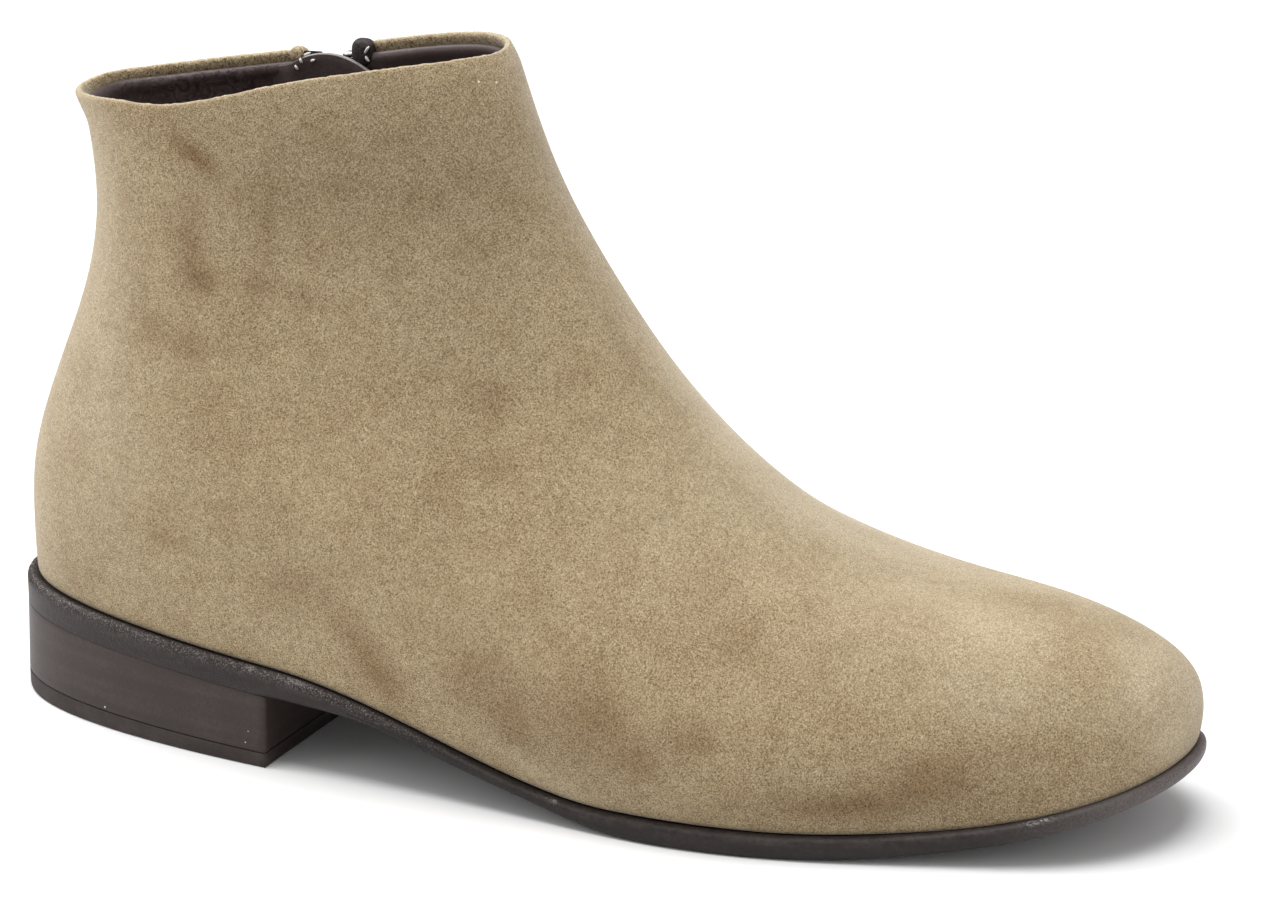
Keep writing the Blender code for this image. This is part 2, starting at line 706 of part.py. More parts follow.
def make_slider_and_pull(material, boot):
    """The slider's bridge holds the pull tab's bar, which is the hinge."""
    middle, axis, out_way = slider_frame()
    down_way = np.array([0.0, 0.0, -1.0])
    hinge_out = SLIDER_PROUD + BRIDGE_HOLE_HEIGHT / 2

    def on_wall(across, down, out):
        return middle + across * axis + down * down_way + out * out_way

    half_length = SLIDER_LENGTH / 2
    body_outline = [
        (-SLIDER_HALF_WIDTH_TOP, -half_length),
        (SLIDER_HALF_WIDTH_TOP, -half_length),
        (SLIDER_HALF_WIDTH_TOP, 0),
        (SLIDER_HALF_WIDTH_FOOT, half_length),
        (-SLIDER_HALF_WIDTH_FOOT, half_length),
        (-SLIDER_HALF_WIDTH_TOP, 0),
    ]
    slider = prism("zip_slider", material, body_outline, -SLIDER_DEPTH, SLIDER_PROUD, on_wall)

    sunk = SLIDER_PROUD - CLEARANCE
    under = SLIDER_PROUD + BRIDGE_HOLE_HEIGHT
    hole = BRIDGE_HALF_LENGTH - BRIDGE_LEG
    bridge_outline = [
        (-BRIDGE_HALF_LENGTH, sunk),
        (-BRIDGE_HALF_LENGTH, under + BRIDGE_TOP),
        (BRIDGE_HALF_LENGTH, under + BRIDGE_TOP),
        (BRIDGE_HALF_LENGTH, sunk),
        (hole, sunk),
        (hole, under),
        (-hole, under),
        (-hole, sunk),
    ]
    bridge = prism("zip_slider_bridge_guide", material, bridge_outline,
                   -BRIDGE_HALF_WIDTH, BRIDGE_HALF_WIDTH,
                   lambda down, out, across: on_wall(across, down, out))
    cut_or_join(slider, bridge, "UNION")

    hinge = bpy.data.objects.new("zip_pull_hinge", None)
    hinge.location = on_wall(0, 0, hinge_out) * MM
    hinge.parent = boot
    bpy.context.collection.objects.link(hinge)

    def from_hinge(across, down, out):
        return across * axis + down * down_way + out * out_way

    half_bar = PULL_BAR / 2
    round_start = PULL_LENGTH - PULL_HALF_WIDTH_FOOT
    round_foot = [(PULL_HALF_WIDTH_FOOT * np.cos(t), round_start + PULL_HALF_WIDTH_FOOT * np.sin(t))
                  for t in np.linspace(0, np.pi, PULL_ROUND_POINTS)]
    pull_outline = [(-PULL_HALF_WIDTH_EYE, -half_bar), (PULL_HALF_WIDTH_EYE, -half_bar), *round_foot]
    half_thick = PULL_THICKNESS / 2
    pull = prism("zip_pull", material, pull_outline, -half_thick, half_thick, from_hinge)
    window_outline = [
        (-PULL_WINDOW_HALF_WIDTH, half_bar),
        (PULL_WINDOW_HALF_WIDTH, half_bar),
        (PULL_WINDOW_HALF_WIDTH, half_bar + PULL_WINDOW_LENGTH),
        (-PULL_WINDOW_HALF_WIDTH, half_bar + PULL_WINDOW_LENGTH),
    ]
    window = prism("zip_pull_window_guide", material, window_outline,
                   -PULL_THICKNESS, PULL_THICKNESS, from_hinge)
    cut_or_join(pull, window, "DIFFERENCE")
    pull.parent = hinge
    window.parent = hinge


def main():
    for old in list(bpy.data.objects):
        bpy.data.objects.remove(old, do_unlink=True)
    suede = plain_finish("tan_suede", (0.33, 0.25, 0.16), 0.95)
    dark_sole = plain_finish("dark_sole_leather", (0.065, 0.05, 0.045), 0.5)
    dark_heel = plain_finish("dark_heel_stack", (0.06, 0.045, 0.04), 0.5)
    dark_rubber = plain_finish("dark_top_lift", (0.045, 0.036, 0.033), 0.6)
    lining = plain_finish("brown_lining", (0.075, 0.045, 0.035), 0.55)
    tape = plain_finish("black_zip_tape", (0.02, 0.018, 0.017), 0.85)
    metal = plain_finish("nickel_zip", (0.55, 0.54, 0.52), 0.3, 1.0)

    boot = bpy.data.objects.new("boot", None)
    bpy.context.collection.objects.link(boot)
    make_outsole(dark_sole)
    make_heel(dark_heel, dark_rubber)
    make_insole(lining)
    make_upper(suede)
    make_zip(tape, metal, lining)
    make_slider_and_pull(metal, boot)

    pieces = [piece for piece in bpy.data.objects if piece.type == "MESH"]
    for piece in pieces:
        if piece.parent is None:
            piece.parent = boot
    footprint = np.array([corner.co for piece in pieces if piece.name in ("outsole", "upper")
                          for corner in piece.data.vertices])
    middle = (footprint.min(0) + footprint.max(0)) / 2
    boot.location = (-middle[0], -middle[1], 0)


main()
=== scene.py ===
# %% [markdown]
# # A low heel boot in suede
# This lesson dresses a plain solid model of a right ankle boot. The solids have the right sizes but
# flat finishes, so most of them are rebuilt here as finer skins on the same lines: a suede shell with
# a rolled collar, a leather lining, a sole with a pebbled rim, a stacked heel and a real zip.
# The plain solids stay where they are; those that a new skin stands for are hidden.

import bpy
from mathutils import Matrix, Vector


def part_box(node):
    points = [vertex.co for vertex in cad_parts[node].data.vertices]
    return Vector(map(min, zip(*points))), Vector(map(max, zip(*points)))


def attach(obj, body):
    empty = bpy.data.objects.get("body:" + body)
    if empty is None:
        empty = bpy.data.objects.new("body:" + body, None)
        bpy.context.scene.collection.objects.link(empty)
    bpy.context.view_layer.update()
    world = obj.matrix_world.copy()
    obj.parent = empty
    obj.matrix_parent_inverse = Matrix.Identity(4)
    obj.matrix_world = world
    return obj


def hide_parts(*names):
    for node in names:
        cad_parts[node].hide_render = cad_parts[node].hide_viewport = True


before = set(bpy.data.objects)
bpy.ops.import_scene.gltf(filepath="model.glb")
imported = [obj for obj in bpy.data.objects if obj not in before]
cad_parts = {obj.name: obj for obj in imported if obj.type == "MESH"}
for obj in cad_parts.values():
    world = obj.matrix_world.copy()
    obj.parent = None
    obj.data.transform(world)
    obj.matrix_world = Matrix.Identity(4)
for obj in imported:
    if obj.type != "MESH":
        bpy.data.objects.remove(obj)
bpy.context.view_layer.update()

# %% [markdown]
# The boot is drawn in millimetres, as a maker would: x runs from the back of the heel to the toe, the
# outer side of the foot is at -y, the inner side with the zip at +y, and the floor is z = 0. Blender
# wants metres with the origin in the middle of the footprint, so every finished point is shifted and
# scaled once, at the very end. Measuring the shift on the sole keeps both models on one spot.

# %% Sizes of the sole and heel
import math
from collections import namedtuple

import bmesh
import bpy
import numpy as np
from mathutils import Vector

MM = 0.001
CLEARANCE = 0.3
OUTSOLE_LENGTH = 260.0
HEEL_BACK_RADIUS, TOE_RADIUS = 25.0, 27.0
TOE_SWING, TOE_SWING_POWER = 4.0, 6
SEAT_HEIGHT_BACK, SEAT_HEIGHT_BREAST = 27.0, 21.4
BREAST_X, BREAST_SKEW_DEG = 70.5, 6.0
SOLE_THICKNESS = 4.6
BALL_FLAT_START, BALL_FLAT_END = 149.0, 178.0
TOE_SPRING, TOE_SPRING_POWER = 12.9, 2.2
WELT_WIDTH = 2.4
WAIST_BEVEL_WIDTH = 9.0
HEEL_TAPER = -0.5

# x, half-width to the outer side, half-width to the inner side
SOLE_PLAN = np.array([
    (16, 21.8, 21.5), (45, 31, 29), (74, 35.4, 27.5), (104, 38, 24), (134, 41.6, 29.8),
    (164, 44.5, 39.5), (190, 41.4, 42.3), (215, 34.8, 38.2), (240, 25.8, 27.5),
])
# x, thickness of the sole's edge
SOLE_EDGE = np.array([
    (0, 6.5), (70, 5.6), (100, 2.9), (128, 2.4), (158, SOLE_THICKNESS),
    (BALL_FLAT_END, SOLE_THICKNESS), (OUTSOLE_LENGTH, 3.6),
])

# %% [markdown]
# A last has no straight lines, so its sizes are joined by natural cubic splines: the smoothest curve
# that passes through a short list of measured widths. Blender has curve objects for this, but a small
# function gives the same curve as numbers, which can be asked for a point anywhere.

# %% Smooth curves through a few sizes
TINY_ANGLE = 1e-3
TINY_LEVEL = 1e-3


def natural_spline(knots, values):
    """A smooth curve through values (one row for each knot), as a function of the knot's axis."""
    knots = np.asarray(knots, float)
    values = np.asarray(values, float).reshape(len(knots), -1)
    step = np.diff(knots)
    slope = np.diff(values, axis=0) / step[:, None]
    system = np.eye(len(knots))
    bend = np.zeros_like(values)
    for i in range(1, len(knots) - 1):
        system[i, i - 1:i + 2] = step[i - 1], 2 * (step[i - 1] + step[i]), step[i]
        bend[i] = 6 * (slope[i] - slope[i - 1])
    bend = np.linalg.solve(system, bend)

    def curve(at):
        at = np.asarray(at, float)
        k = np.clip(np.searchsorted(knots, at) - 1, 0, len(knots) - 2)
        after = (at - knots[k])[..., None]
        before = (knots[k + 1] - at)[..., None]
        span = step[k][..., None]
        return ((bend[k] * before ** 3 + bend[k + 1] * after ** 3) / (6 * span)
                + (values[k] / span - bend[k] * span / 6) * before
                + (values[k + 1] / span - bend[k + 1] * span / 6) * after)

    return curve


def ease(t):
    t = np.clip(t, 0, 1)
    return t * t * (3 - 2 * t)


def angle_of_share(share):
    """Angle along a ring, 0 at the back and pi at the front, for a share of its length."""
    return np.arccos(np.clip(1 - 2 * np.asarray(share, float), -1, 1))


def share_of_angle(angle):
    return (1 - np.cos(angle)) / 2


def unit(vectors):
    return vectors / np.linalg.norm(vectors, axis=-1, keepdims=True)


def run_along(line):
    """Length along a line of points, from the first one to each of them."""
    return np.concatenate([[0], np.cumsum(np.linalg.norm(np.diff(line, axis=0), axis=1))])


# %% [markdown]
# The sole sets everything else: its plan is where the upper is pulled under, and its side view (seat,
# arch, flat ball, toe spring) is the line that the foot stands on.

# %% Lines of the sole
def seat_height(x):
    """Top of the outsole: a straight seat, an arch, a flat ball and a toe spring."""
    x = np.asarray(x, float)
    slope = (SEAT_HEIGHT_BREAST - SEAT_HEIGHT_BACK) / BREAST_X
    seat = SEAT_HEIGHT_BACK + slope * x
    arch_length = BALL_FLAT_START - BREAST_X
    t = np.clip((x - BREAST_X) / arch_length, 0, 1)
    drop = SEAT_HEIGHT_BREAST - SOLE_THICKNESS
    arch = SOLE_THICKNESS + (2 * t ** 3 - 3 * t ** 2 + 1) * drop
    arch = arch + (t ** 3 - 2 * t ** 2 + t) * slope * arch_length
    reach = np.clip((x - BALL_FLAT_END) / (OUTSOLE_LENGTH - BALL_FLAT_END), 0, None)
    spring = SOLE_THICKNESS + TOE_SPRING * reach ** TOE_SPRING_POWER
    return np.where(x < BREAST_X, seat, np.where(x < BALL_FLAT_START, arch, spring))


def edge_thickness(x):
    """Thickness of the sole's edge, thinned at the waist."""
    x = np.asarray(x, float)
    k = np.clip(np.searchsorted(SOLE_EDGE[:, 0], x) - 1, 0, len(SOLE_EDGE) - 2)
    t = (x - SOLE_EDGE[k, 0]) / (SOLE_EDGE[k + 1, 0] - SOLE_EDGE[k, 0])
    return SOLE_EDGE[k, 1] + (SOLE_EDGE[k + 1, 1] - SOLE_EDGE[k, 1]) * ease(t)


def sole_swing(share):
    """Sideways place of the sole's middle line, which leans inwards at the toe."""
    return TOE_SWING * np.asarray(share) ** TOE_SWING_POWER


def sole_width_curve():
    """Outer and inner half-width, each over the sine of the ring's angle."""
    share = SOLE_PLAN[:, 0] / OUTSOLE_LENGTH
    angle = angle_of_share(share)
    lateral = (SOLE_PLAN[:, 1] + sole_swing(share)) / np.sin(angle)
    medial = (SOLE_PLAN[:, 2] - sole_swing(share)) / np.sin(angle)
    back, front = (np.sqrt(radius * OUTSOLE_LENGTH / 2) for radius in (HEEL_BACK_RADIUS, TOE_RADIUS))
    knots = np.concatenate([[0], angle, [np.pi]])
    sides = [np.concatenate([[back], side, [front]]) for side in (lateral, medial)]
    return natural_spline(knots, np.stack(sides, -1))


SOLE_WIDTH = sole_width_curve()


def sole_plan_point(angle, side, inset=0.0):
    """Plan points of the sole at ring angles on one side (-1 outer, 1 inner), moved in by an inset."""

    def edge(at):
        bent = np.abs(np.where(at > np.pi, 2 * np.pi - at, at))
        hand = np.where((at < 0) | (at > np.pi), -side, side)
        width = SOLE_WIDTH(bent)
        half = np.where(hand < 0, width[..., 0], width[..., 1])
        share = share_of_angle(bent)
        return np.stack([OUTSOLE_LENGTH * share, sole_swing(share) + hand * half * np.sin(bent)], -1)

    angle = np.asarray(angle, float)
    along = unit(edge(angle + TINY_ANGLE) - edge(angle - TINY_ANGLE))
    inward = np.stack([along[..., 1], -along[..., 0]], -1) * np.asarray(side)[..., None]
    return edge(angle) + np.asarray(inset)[..., None] * inward


sole_low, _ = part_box("outsole")
widest = sole_plan_point(np.linspace(0, np.pi, 400), -1)[:, 1].min()
SHIFT = np.array([sole_low.x / MM, sole_low.y / MM - widest, 0.0])
print("shift of the working sizes, in mm:", SHIFT.round(3))

# %% [markdown]
# The upper is described by rings, like the hoops of a barrel: one at each height of the last, each with
# its two ends, its half-widths and its end radii. A place on the upper is then two numbers: how far
# around (0 back, a quarter outer side, half front) and which level (0 at the sole, 1 at the collar).

# %% The upper's rings
Ring = namedtuple("Ring", "name back_x back_lift front_x front_lift follow sole_share "
                          "back_radius heel waist ball toe front_radius")
RINGS = [
    Ring("wall", 2.6, 13, 258.6, 10.6, 1.0, 1.0, 26, 29.5, 30.5, 42.0, 36.3, 25),
    Ring("shoulder", 3.6, 26, 249.8, 22.6, 0.85, 0.85, 27, 30.5, 32.0, 40.4, 33.7, 23),
    Ring("toe_top", 7.0, 39, 225.0, 33.2, 0.65, 0.65, 26, 30.0, 32.2, 36.6, 30.2, 19),
    Ring("vamp", 12.5, 53, 185.0, 41.7, 0.45, 0.45, 24, 28.5, 30.8, 34.3, 31.0, 21),
    Ring("instep", 18.0, 68, 151.0, 65.6, 0.25, 0.25, 21, 26.5, 29.0, 30.0, 26.0, 22),
    Ring("ankle", 20.8, 82, 130.5, 91.6, 0.10, 0.10, 19, 24.8, 27.6, 27.4, 22.6, 20),
    Ring("shaft", 20.5, 95, 119.5, 113.1, 0, 0, 16, 23.2, 26.6, 25.8, 21.2, 18),
    Ring("collar", 17.8, 108, 113.0, 132.6, 0, 0, 10, 20.6, 25.4, 24.5, 20.5, 17),
]
STATIONS = np.array([0.17, 0.40, 0.63, 0.80])
# degrees around from the back by way of the outer side, and rise of the collar's edge there
COLLAR_WAVE = np.array([
    (0, 0.2), (20, 0.0), (40, -0.2), (52, -0.5), (68, -1.5), (80, -0.95), (100, 0.95), (125, 1.5),
    (150, 0.95), (180, 0.1), (205, 0.75), (235, 0.55), (270, -0.9), (300, -1.2), (330, -0.2),
    (345, 0.4), (360, 0.2),
])
COLLAR_WAVE_START = 0.8
OUTLINE_KNOTS, OUTLINE_SAMPLES, END_ANGLE = 15, 721, 0.02
FEATHER_BACK, FEATHER_FRONT = sole_plan_point(np.array([0.0, np.pi]), -1, WELT_WIDTH)[:, 0]


def feather_curve():
    """Half-widths of the line where the upper meets the sole, by ring angle."""
    dense = np.linspace(0, np.pi, OUTLINE_SAMPLES)
    knots = np.linspace(0, np.pi, OUTLINE_KNOTS)
    inner = knots.copy()
    inner[0], inner[-1] = END_ANGLE, np.pi - END_ANGLE
    sides = []
    for side in (-1, 1):
        points = sole_plan_point(dense, side, WELT_WIDTH)
        own_angle = angle_of_share((points[:, 0] - FEATHER_BACK) / (FEATHER_FRONT - FEATHER_BACK))
        y = np.interp(inner, own_angle, points[:, 1])
        sides.append(side * (y - sole_swing(share_of_angle(inner))) / np.sin(inner))
    return natural_spline(knots, np.stack(sides, -1))


FEATHER_WIDTH = feather_curve()


def level_curve():
    """The rings as one smooth table: what each level adds to its share of the feather line."""
    station_angle = angle_of_share(STATIONS)
    feather = FEATHER_WIDTH(station_angle).mean(-1)
    feather_ends = FEATHER_WIDTH(np.array([0, np.pi])).mean(-1)
    rows = [[FEATHER_BACK, CLEARANCE, FEATHER_FRONT, CLEARANCE, 1, 1] + [0] * (len(STATIONS) + 2)]
    for ring in RINGS:
        length = ring.front_x - ring.back_x
        half = np.array([ring.heel, ring.waist, ring.ball, ring.toe]) / np.sin(station_angle)
        ends = np.sqrt(np.array([ring.back_radius, ring.front_radius]) * length / 2)
        added_half = half - ring.sole_share * feather
        added_ends = ends - ring.sole_share * feather_ends
        rows.append([ring.back_x, ring.back_lift, ring.front_x, ring.front_lift, ring.follow,
                     ring.sole_share, added_ends[0], *added_half, added_ends[1]])
    return natural_spline(np.linspace(0, 1, len(rows)), rows)


LEVEL = level_curve()
STATION_BLEND = natural_spline(np.concatenate([[0], angle_of_share(STATIONS), [np.pi]]),
                               np.eye(len(STATIONS) + 2))
WAVE = natural_spline(np.radians(COLLAR_WAVE[:, 0]), COLLAR_WAVE[:, 1])


def upper_point(around, level):
    """Outer face of the upper: around runs 0 back, pi/2 outer side, pi front; level 0 to 1 is up."""
    around = np.mod(around, 2 * np.pi)
    row = LEVEL(level)
    back_x, back_lift, front_x, front_lift, follow, sole_share = (row[..., i] for i in range(6))
    lateral = around <= np.pi
    angle = np.where(lateral, around, 2 * np.pi - around)
    side = np.where(lateral, -1.0, 1.0)
    share = share_of_angle(angle)
    x = back_x + (front_x - back_x) * share
    feather = FEATHER_WIDTH(angle)
    feather = np.where(lateral, feather[..., 0], feather[..., 1])
    added = (STATION_BLEND(angle) * row[..., 6:]).sum(-1)
    y = sole_share * sole_swing(share) + side * np.sin(angle) * (sole_share * feather + added)
    seat_back, seat_front = seat_height(FEATHER_BACK), seat_height(FEATHER_FRONT)
    over_sole = np.clip(x, FEATHER_BACK, FEATHER_FRONT)
    chord_share = (over_sole - FEATHER_BACK) / (FEATHER_FRONT - FEATHER_BACK)
    arch = seat_height(over_sole) - (seat_back + (seat_front - seat_back) * chord_share)
    back_z, front_z = seat_back + back_lift, seat_front + front_lift
    z = back_z + (front_z - back_z) * share + follow * arch
    near_collar = ease((level - COLLAR_WAVE_START) / (1 - COLLAR_WAVE_START))
    z = z + near_collar * WAVE(around)[..., 0]
    return np.stack([x, y, z], -1)


def upper_axes(around, level):
    """Outward direction, upward direction and millimetres for a whole level, at places on the upper."""
    level_up = np.minimum(level + TINY_LEVEL, 1)
    level_down = np.maximum(level - TINY_LEVEL, 0)
    ahead = upper_point(around + TINY_ANGLE, level) - upper_point(around - TINY_ANGLE, level)
    upward = upper_point(around, level_up) - upper_point(around, level_down)
    rise = np.linalg.norm(upward, axis=-1) / (level_up - level_down)
    return unit(np.cross(ahead, upward)), unit(upward), rise


def wall_place(around, level, depth, lift=0.0):
    """A point at a depth behind the upper's outer face, moved up along the wall by a lift."""
    out, up, _ = upper_axes(around, level)
    depth, lift = np.asarray(depth)[..., None], np.asarray(lift)[..., None]
    return upper_point(around, level) - depth * out + lift * up


collar_heights = upper_point(np.radians([0.0, 90.0, 180.0, 270.0]), np.ones(4))[:, 2]
print("collar height at back, outer side, front and inner side, in mm:", collar_heights.round(1))

# %% [markdown]
# The zip runs up the inner side. Its lines are needed before the suede, which is slit for it: the slit
# has parallel edges, opens a little above the slider and ends in a round foot.

# %% Lines of the zip
WALL = 2.4
ZIP_TOP_X, ZIP_FOOT_X, ZIP_FOOT_LEVEL = 63.0, 66.0, 0.2
SLIDER_LEVEL = 0.926
SLOT_HALF_WIDTH, SLOT_HALF_WIDTH_TOP = 4.0, 6.0
SLOT_ROUND = 0.038


def zip_x(level):
    rise = (np.asarray(level, float) - ZIP_FOOT_LEVEL) / (1 - ZIP_FOOT_LEVEL)
    return ZIP_FOOT_X + (ZIP_TOP_X - ZIP_FOOT_X) * np.clip(rise, 0, 1)


def zip_spread(level):
    """How far the two halves of the zip have parted, 0 below the slider and 1 at the collar."""
    return np.clip((np.asarray(level, float) - SLIDER_LEVEL) / (1 - SLIDER_LEVEL), 0, 1)


def slot_half_width(level):
    """Half the slit's width: nothing below its round foot, widening again above the slider."""
    wide = SLOT_HALF_WIDTH + (SLOT_HALF_WIDTH_TOP - SLOT_HALF_WIDTH) * zip_spread(level)
    short = 1 - np.clip((np.asarray(level) - ZIP_FOOT_LEVEL) / SLOT_ROUND, 0, 1)
    return wide * np.sqrt(1 - short ** 2)


def medial_around(x, level):
    """Ring angle of the inner side's wall at a given x."""
    row = LEVEL(level)
    share = (x - row[..., 0]) / (row[..., 2] - row[..., 0])
    return 2 * np.pi - angle_of_share(share)


def zip_place(across, level, depth):
    """A point beside the zip's middle line: across to the front, at a depth behind the suede's face."""
    level = np.asarray(level, float)
    return wall_place(medial_around(zip_x(level) + across, level), level, depth)


print("slit half-width at mid height and at the collar, in mm:", slot_half_width(np.array([0.5, 1.0])))

# %% [markdown]
# Each piece becomes one mesh. A grid of points is the easiest skin to control: rows go along the
# piece, columns across it, and every four neighbours make a face. Blender's modelling tools could do
# the same by hand, but numbers can be repeated and measured.

# %% Make a piece from points
def make_piece(name, points, faces, finishes, stands_for=(), tones=None, face_finish=None):
    """One piece of the boot from working points; tones are named marks with a value for each point."""
    mesh = bpy.data.meshes.new(name)
    mesh.from_pydata(((np.asarray(points) + SHIFT) * MM).tolist(), [], [list(map(int, f)) for f in faces])
    for mark, values in (tones or {}).items():
        mesh.attributes.new(mark, "FLOAT", "POINT").data.foreach_set("value", np.asarray(values, np.float32))
    for finish in finishes:
        mesh.materials.append(finish)
    if face_finish is not None:
        mesh.polygons.foreach_set("material_index", np.asarray(face_finish, np.int32))
    work = bmesh.new()
    work.from_mesh(mesh)
    bmesh.ops.recalc_face_normals(work, faces=work.faces)
    if work.calc_volume(signed=True) < 0:
        bmesh.ops.reverse_faces(work, faces=work.faces)
    work.to_mesh(mesh)
    work.free()
    mesh.shade_smooth()
    piece = bpy.data.objects.new(name, mesh)
    bpy.context.scene.collection.objects.link(piece)
    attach(piece, "boot")
    if stands_for:
        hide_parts(*stands_for)
    print(f"{name}: {len(points)} points, {len(faces)} faces")
    return piece


def point_numbers(rows, columns):
    """The numbers of a grid's points, row by row."""
    return np.arange(rows * columns).reshape(rows, columns)


def grid_faces(index, wrap_rows=False, wrap_columns=False):
    """Four-cornered faces of a grid of point numbers; its last row or column joins the first if asked."""
    if wrap_rows:
        index = np.vstack([index, index[:1]])
    if wrap_columns:
        index = np.column_stack([index, index[:, 0]])
    return np.stack([index[:-1, :-1], index[:-1, 1:], index[1:, 1:], index[1:, :-1]], -1).reshape(-1, 4)


def corner_face(*corners):
    """A face from its corners, taking a doubled corner once."""
    return list(dict.fromkeys(int(corner) for corner in corners))


def soften_edges(piece, width_mm, angle_deg):
    """Round a piece's sharp edges a little."""
    bevel = piece.modifiers.new("soft_edges", "BEVEL")
    bevel.width = width_mm * MM
    bevel.segments = 2
    bevel.limit_method = "ANGLE"
    bevel.angle_limit = math.radians(angle_deg)


# %% [markdown]
# A finish is a small network of shader nodes. Textures are measured in the boot's own millimetres
# (object coordinates), so a grain of half a millimetre stays that size from any camera. This helper
# keeps the calls short: most methods add a node or two and return the output.

# %% Build finishes from nodes
SPOT_CORE = 0.3
DARK_STOP, LIGHT_STOP = 0.25, 0.75


class FinishMaker:
    def __init__(self, name, roughness, specular=0.5, metallic=0.0):
        self.material = bpy.data.materials.new(name)
        self.material.use_nodes = True
        self.tree = self.material.node_tree
        self.shader = self.tree.nodes["Principled BSDF"]
        self.shader.inputs["Roughness"].default_value = roughness
        self.shader.inputs["Specular IOR Level"].default_value = specular
        self.shader.inputs["Metallic"].default_value = metallic
        self.place = self.tree.nodes.new("ShaderNodeTexCoord").outputs["Object"]

    def feed(self, socket, value):
        """Join an output to a socket, or set a plain value on it."""
        if isinstance(value, bpy.types.NodeSocket):
            self.tree.links.new(value, socket)
        else:
            socket.default_value = value

    def noise(self, grain_mm, detail=2.0, rough=0.5, warp=0.0, stretch=None):
        node = self.tree.nodes.new("ShaderNodeTexNoise")
        place = self.place
        if stretch is not None:
            mapping = self.tree.nodes.new("ShaderNodeMapping")
            mapping.inputs["Scale"].default_value = stretch
            self.feed(mapping.inputs["Vector"], place)
            place = mapping.outputs["Vector"]
        self.feed(node.inputs["Vector"], place)
        node.inputs["Scale"].default_value = 1 / (grain_mm * MM)
        node.inputs["Detail"].default_value = detail
        node.inputs["Roughness"].default_value = rough
        node.inputs["Distortion"].default_value = warp
        return node.outputs["Fac"]

    def mark(self, name):
        node = self.tree.nodes.new("ShaderNodeAttribute")
        node.attribute_name = name
        return node.outputs["Fac"]

    def sum_of(self, *parts):
        """Add up (value, weight, middle) parts, each taken about its middle, onto one half."""
        total = 0.5
        for value, weight, middle in parts:
            node = self.tree.nodes.new("ShaderNodeMath")
            node.operation = "MULTIPLY_ADD"
            self.feed(node.inputs[0], value)
            node.inputs[1].default_value = weight
            shifted = self.tree.nodes.new("ShaderNodeMath")
            shifted.operation = "SUBTRACT"
            self.feed(shifted.inputs[0], total)
            shifted.inputs[1].default_value = weight * middle
            self.feed(node.inputs[2], shifted.outputs[0])
            total = node.outputs[0]
        return total

    def ramp(self, value, stops):
        node = self.tree.nodes.new("ShaderNodeValToRGB")
        self.feed(node.inputs["Fac"], value)
        stop_list = node.color_ramp.elements
        while len(stop_list) < len(stops):
            stop_list.new(0.5)
        for element, (position, colour) in zip(stop_list, stops):
            element.position = position
            element.color = (*colour, 1) if len(colour) == 3 else colour
        return node.outputs["Color"]

    def share(self, value, times):
        """A value times a factor, kept between nothing and one."""
        node = self.tree.nodes.new("ShaderNodeMath")
        node.operation = "MULTIPLY"
        node.use_clamp = True
        self.feed(node.inputs[0], value)
        node.inputs[1].default_value = times
        return node.outputs[0]

    def mix(self, factor, first, second, way="MIX"):
        node = self.tree.nodes.new("ShaderNodeMix")
        node.data_type = "RGBA"
        node.blend_type = way
        self.feed(node.inputs["Factor"], factor)
        for socket, value in ((node.inputs["A"], first), (node.inputs["B"], second)):
            self.feed(socket, value)
        return node.outputs["Result"]

    def spot(self, place, radius):
        """A small round spot at a working place on the boot: one in its middle, nothing outside."""
        gap = self.tree.nodes.new("ShaderNodeVectorMath")
        gap.operation = "DISTANCE"
        self.feed(gap.inputs[0], self.place)
        gap.inputs[1].default_value = (np.array(place) + SHIFT) * MM
        fade = self.tree.nodes.new("ShaderNodeMapRange")
        self.feed(fade.inputs["Value"], gap.outputs["Value"])
        fade.inputs["From Min"].default_value = radius * MM
        fade.inputs["From Max"].default_value = SPOT_CORE * radius * MM
        return fade.outputs["Result"]

    def dotted(self, base, spots, colour):
        """A colour with small round spots on it, each given as a place and a radius."""
        for place, radius in spots:
            base = self.mix(self.spot(place, radius), base, colour)
        return base

    def colour(self, value):
        self.feed(self.shader.inputs["Base Color"], value)

    def relief(self, height, depth_mm, strength):
        node = self.tree.nodes.new("ShaderNodeBump")
        node.inputs["Strength"].default_value = strength
        node.inputs["Distance"].default_value = depth_mm * MM
        self.feed(node.inputs["Height"], height)
        self.feed(self.shader.inputs["Normal"], node.outputs["Normal"])


def grey(value):
    return (value, value, value)


def grained_finish(name, grain_mm, dark, light, depth_mm, strength, detail=3, rough=0.6, **surface):
    """A finish of one fine grain: two colours and a little relief."""
    finish = FinishMaker(name, **surface)
    grain = finish.noise(grain_mm, detail=detail, rough=rough)
    finish.colour(finish.ramp(grain, [(DARK_STOP, dark), (LIGHT_STOP, light)]))
    finish.relief(grain, depth_mm=depth_mm, strength=strength)
    return finish
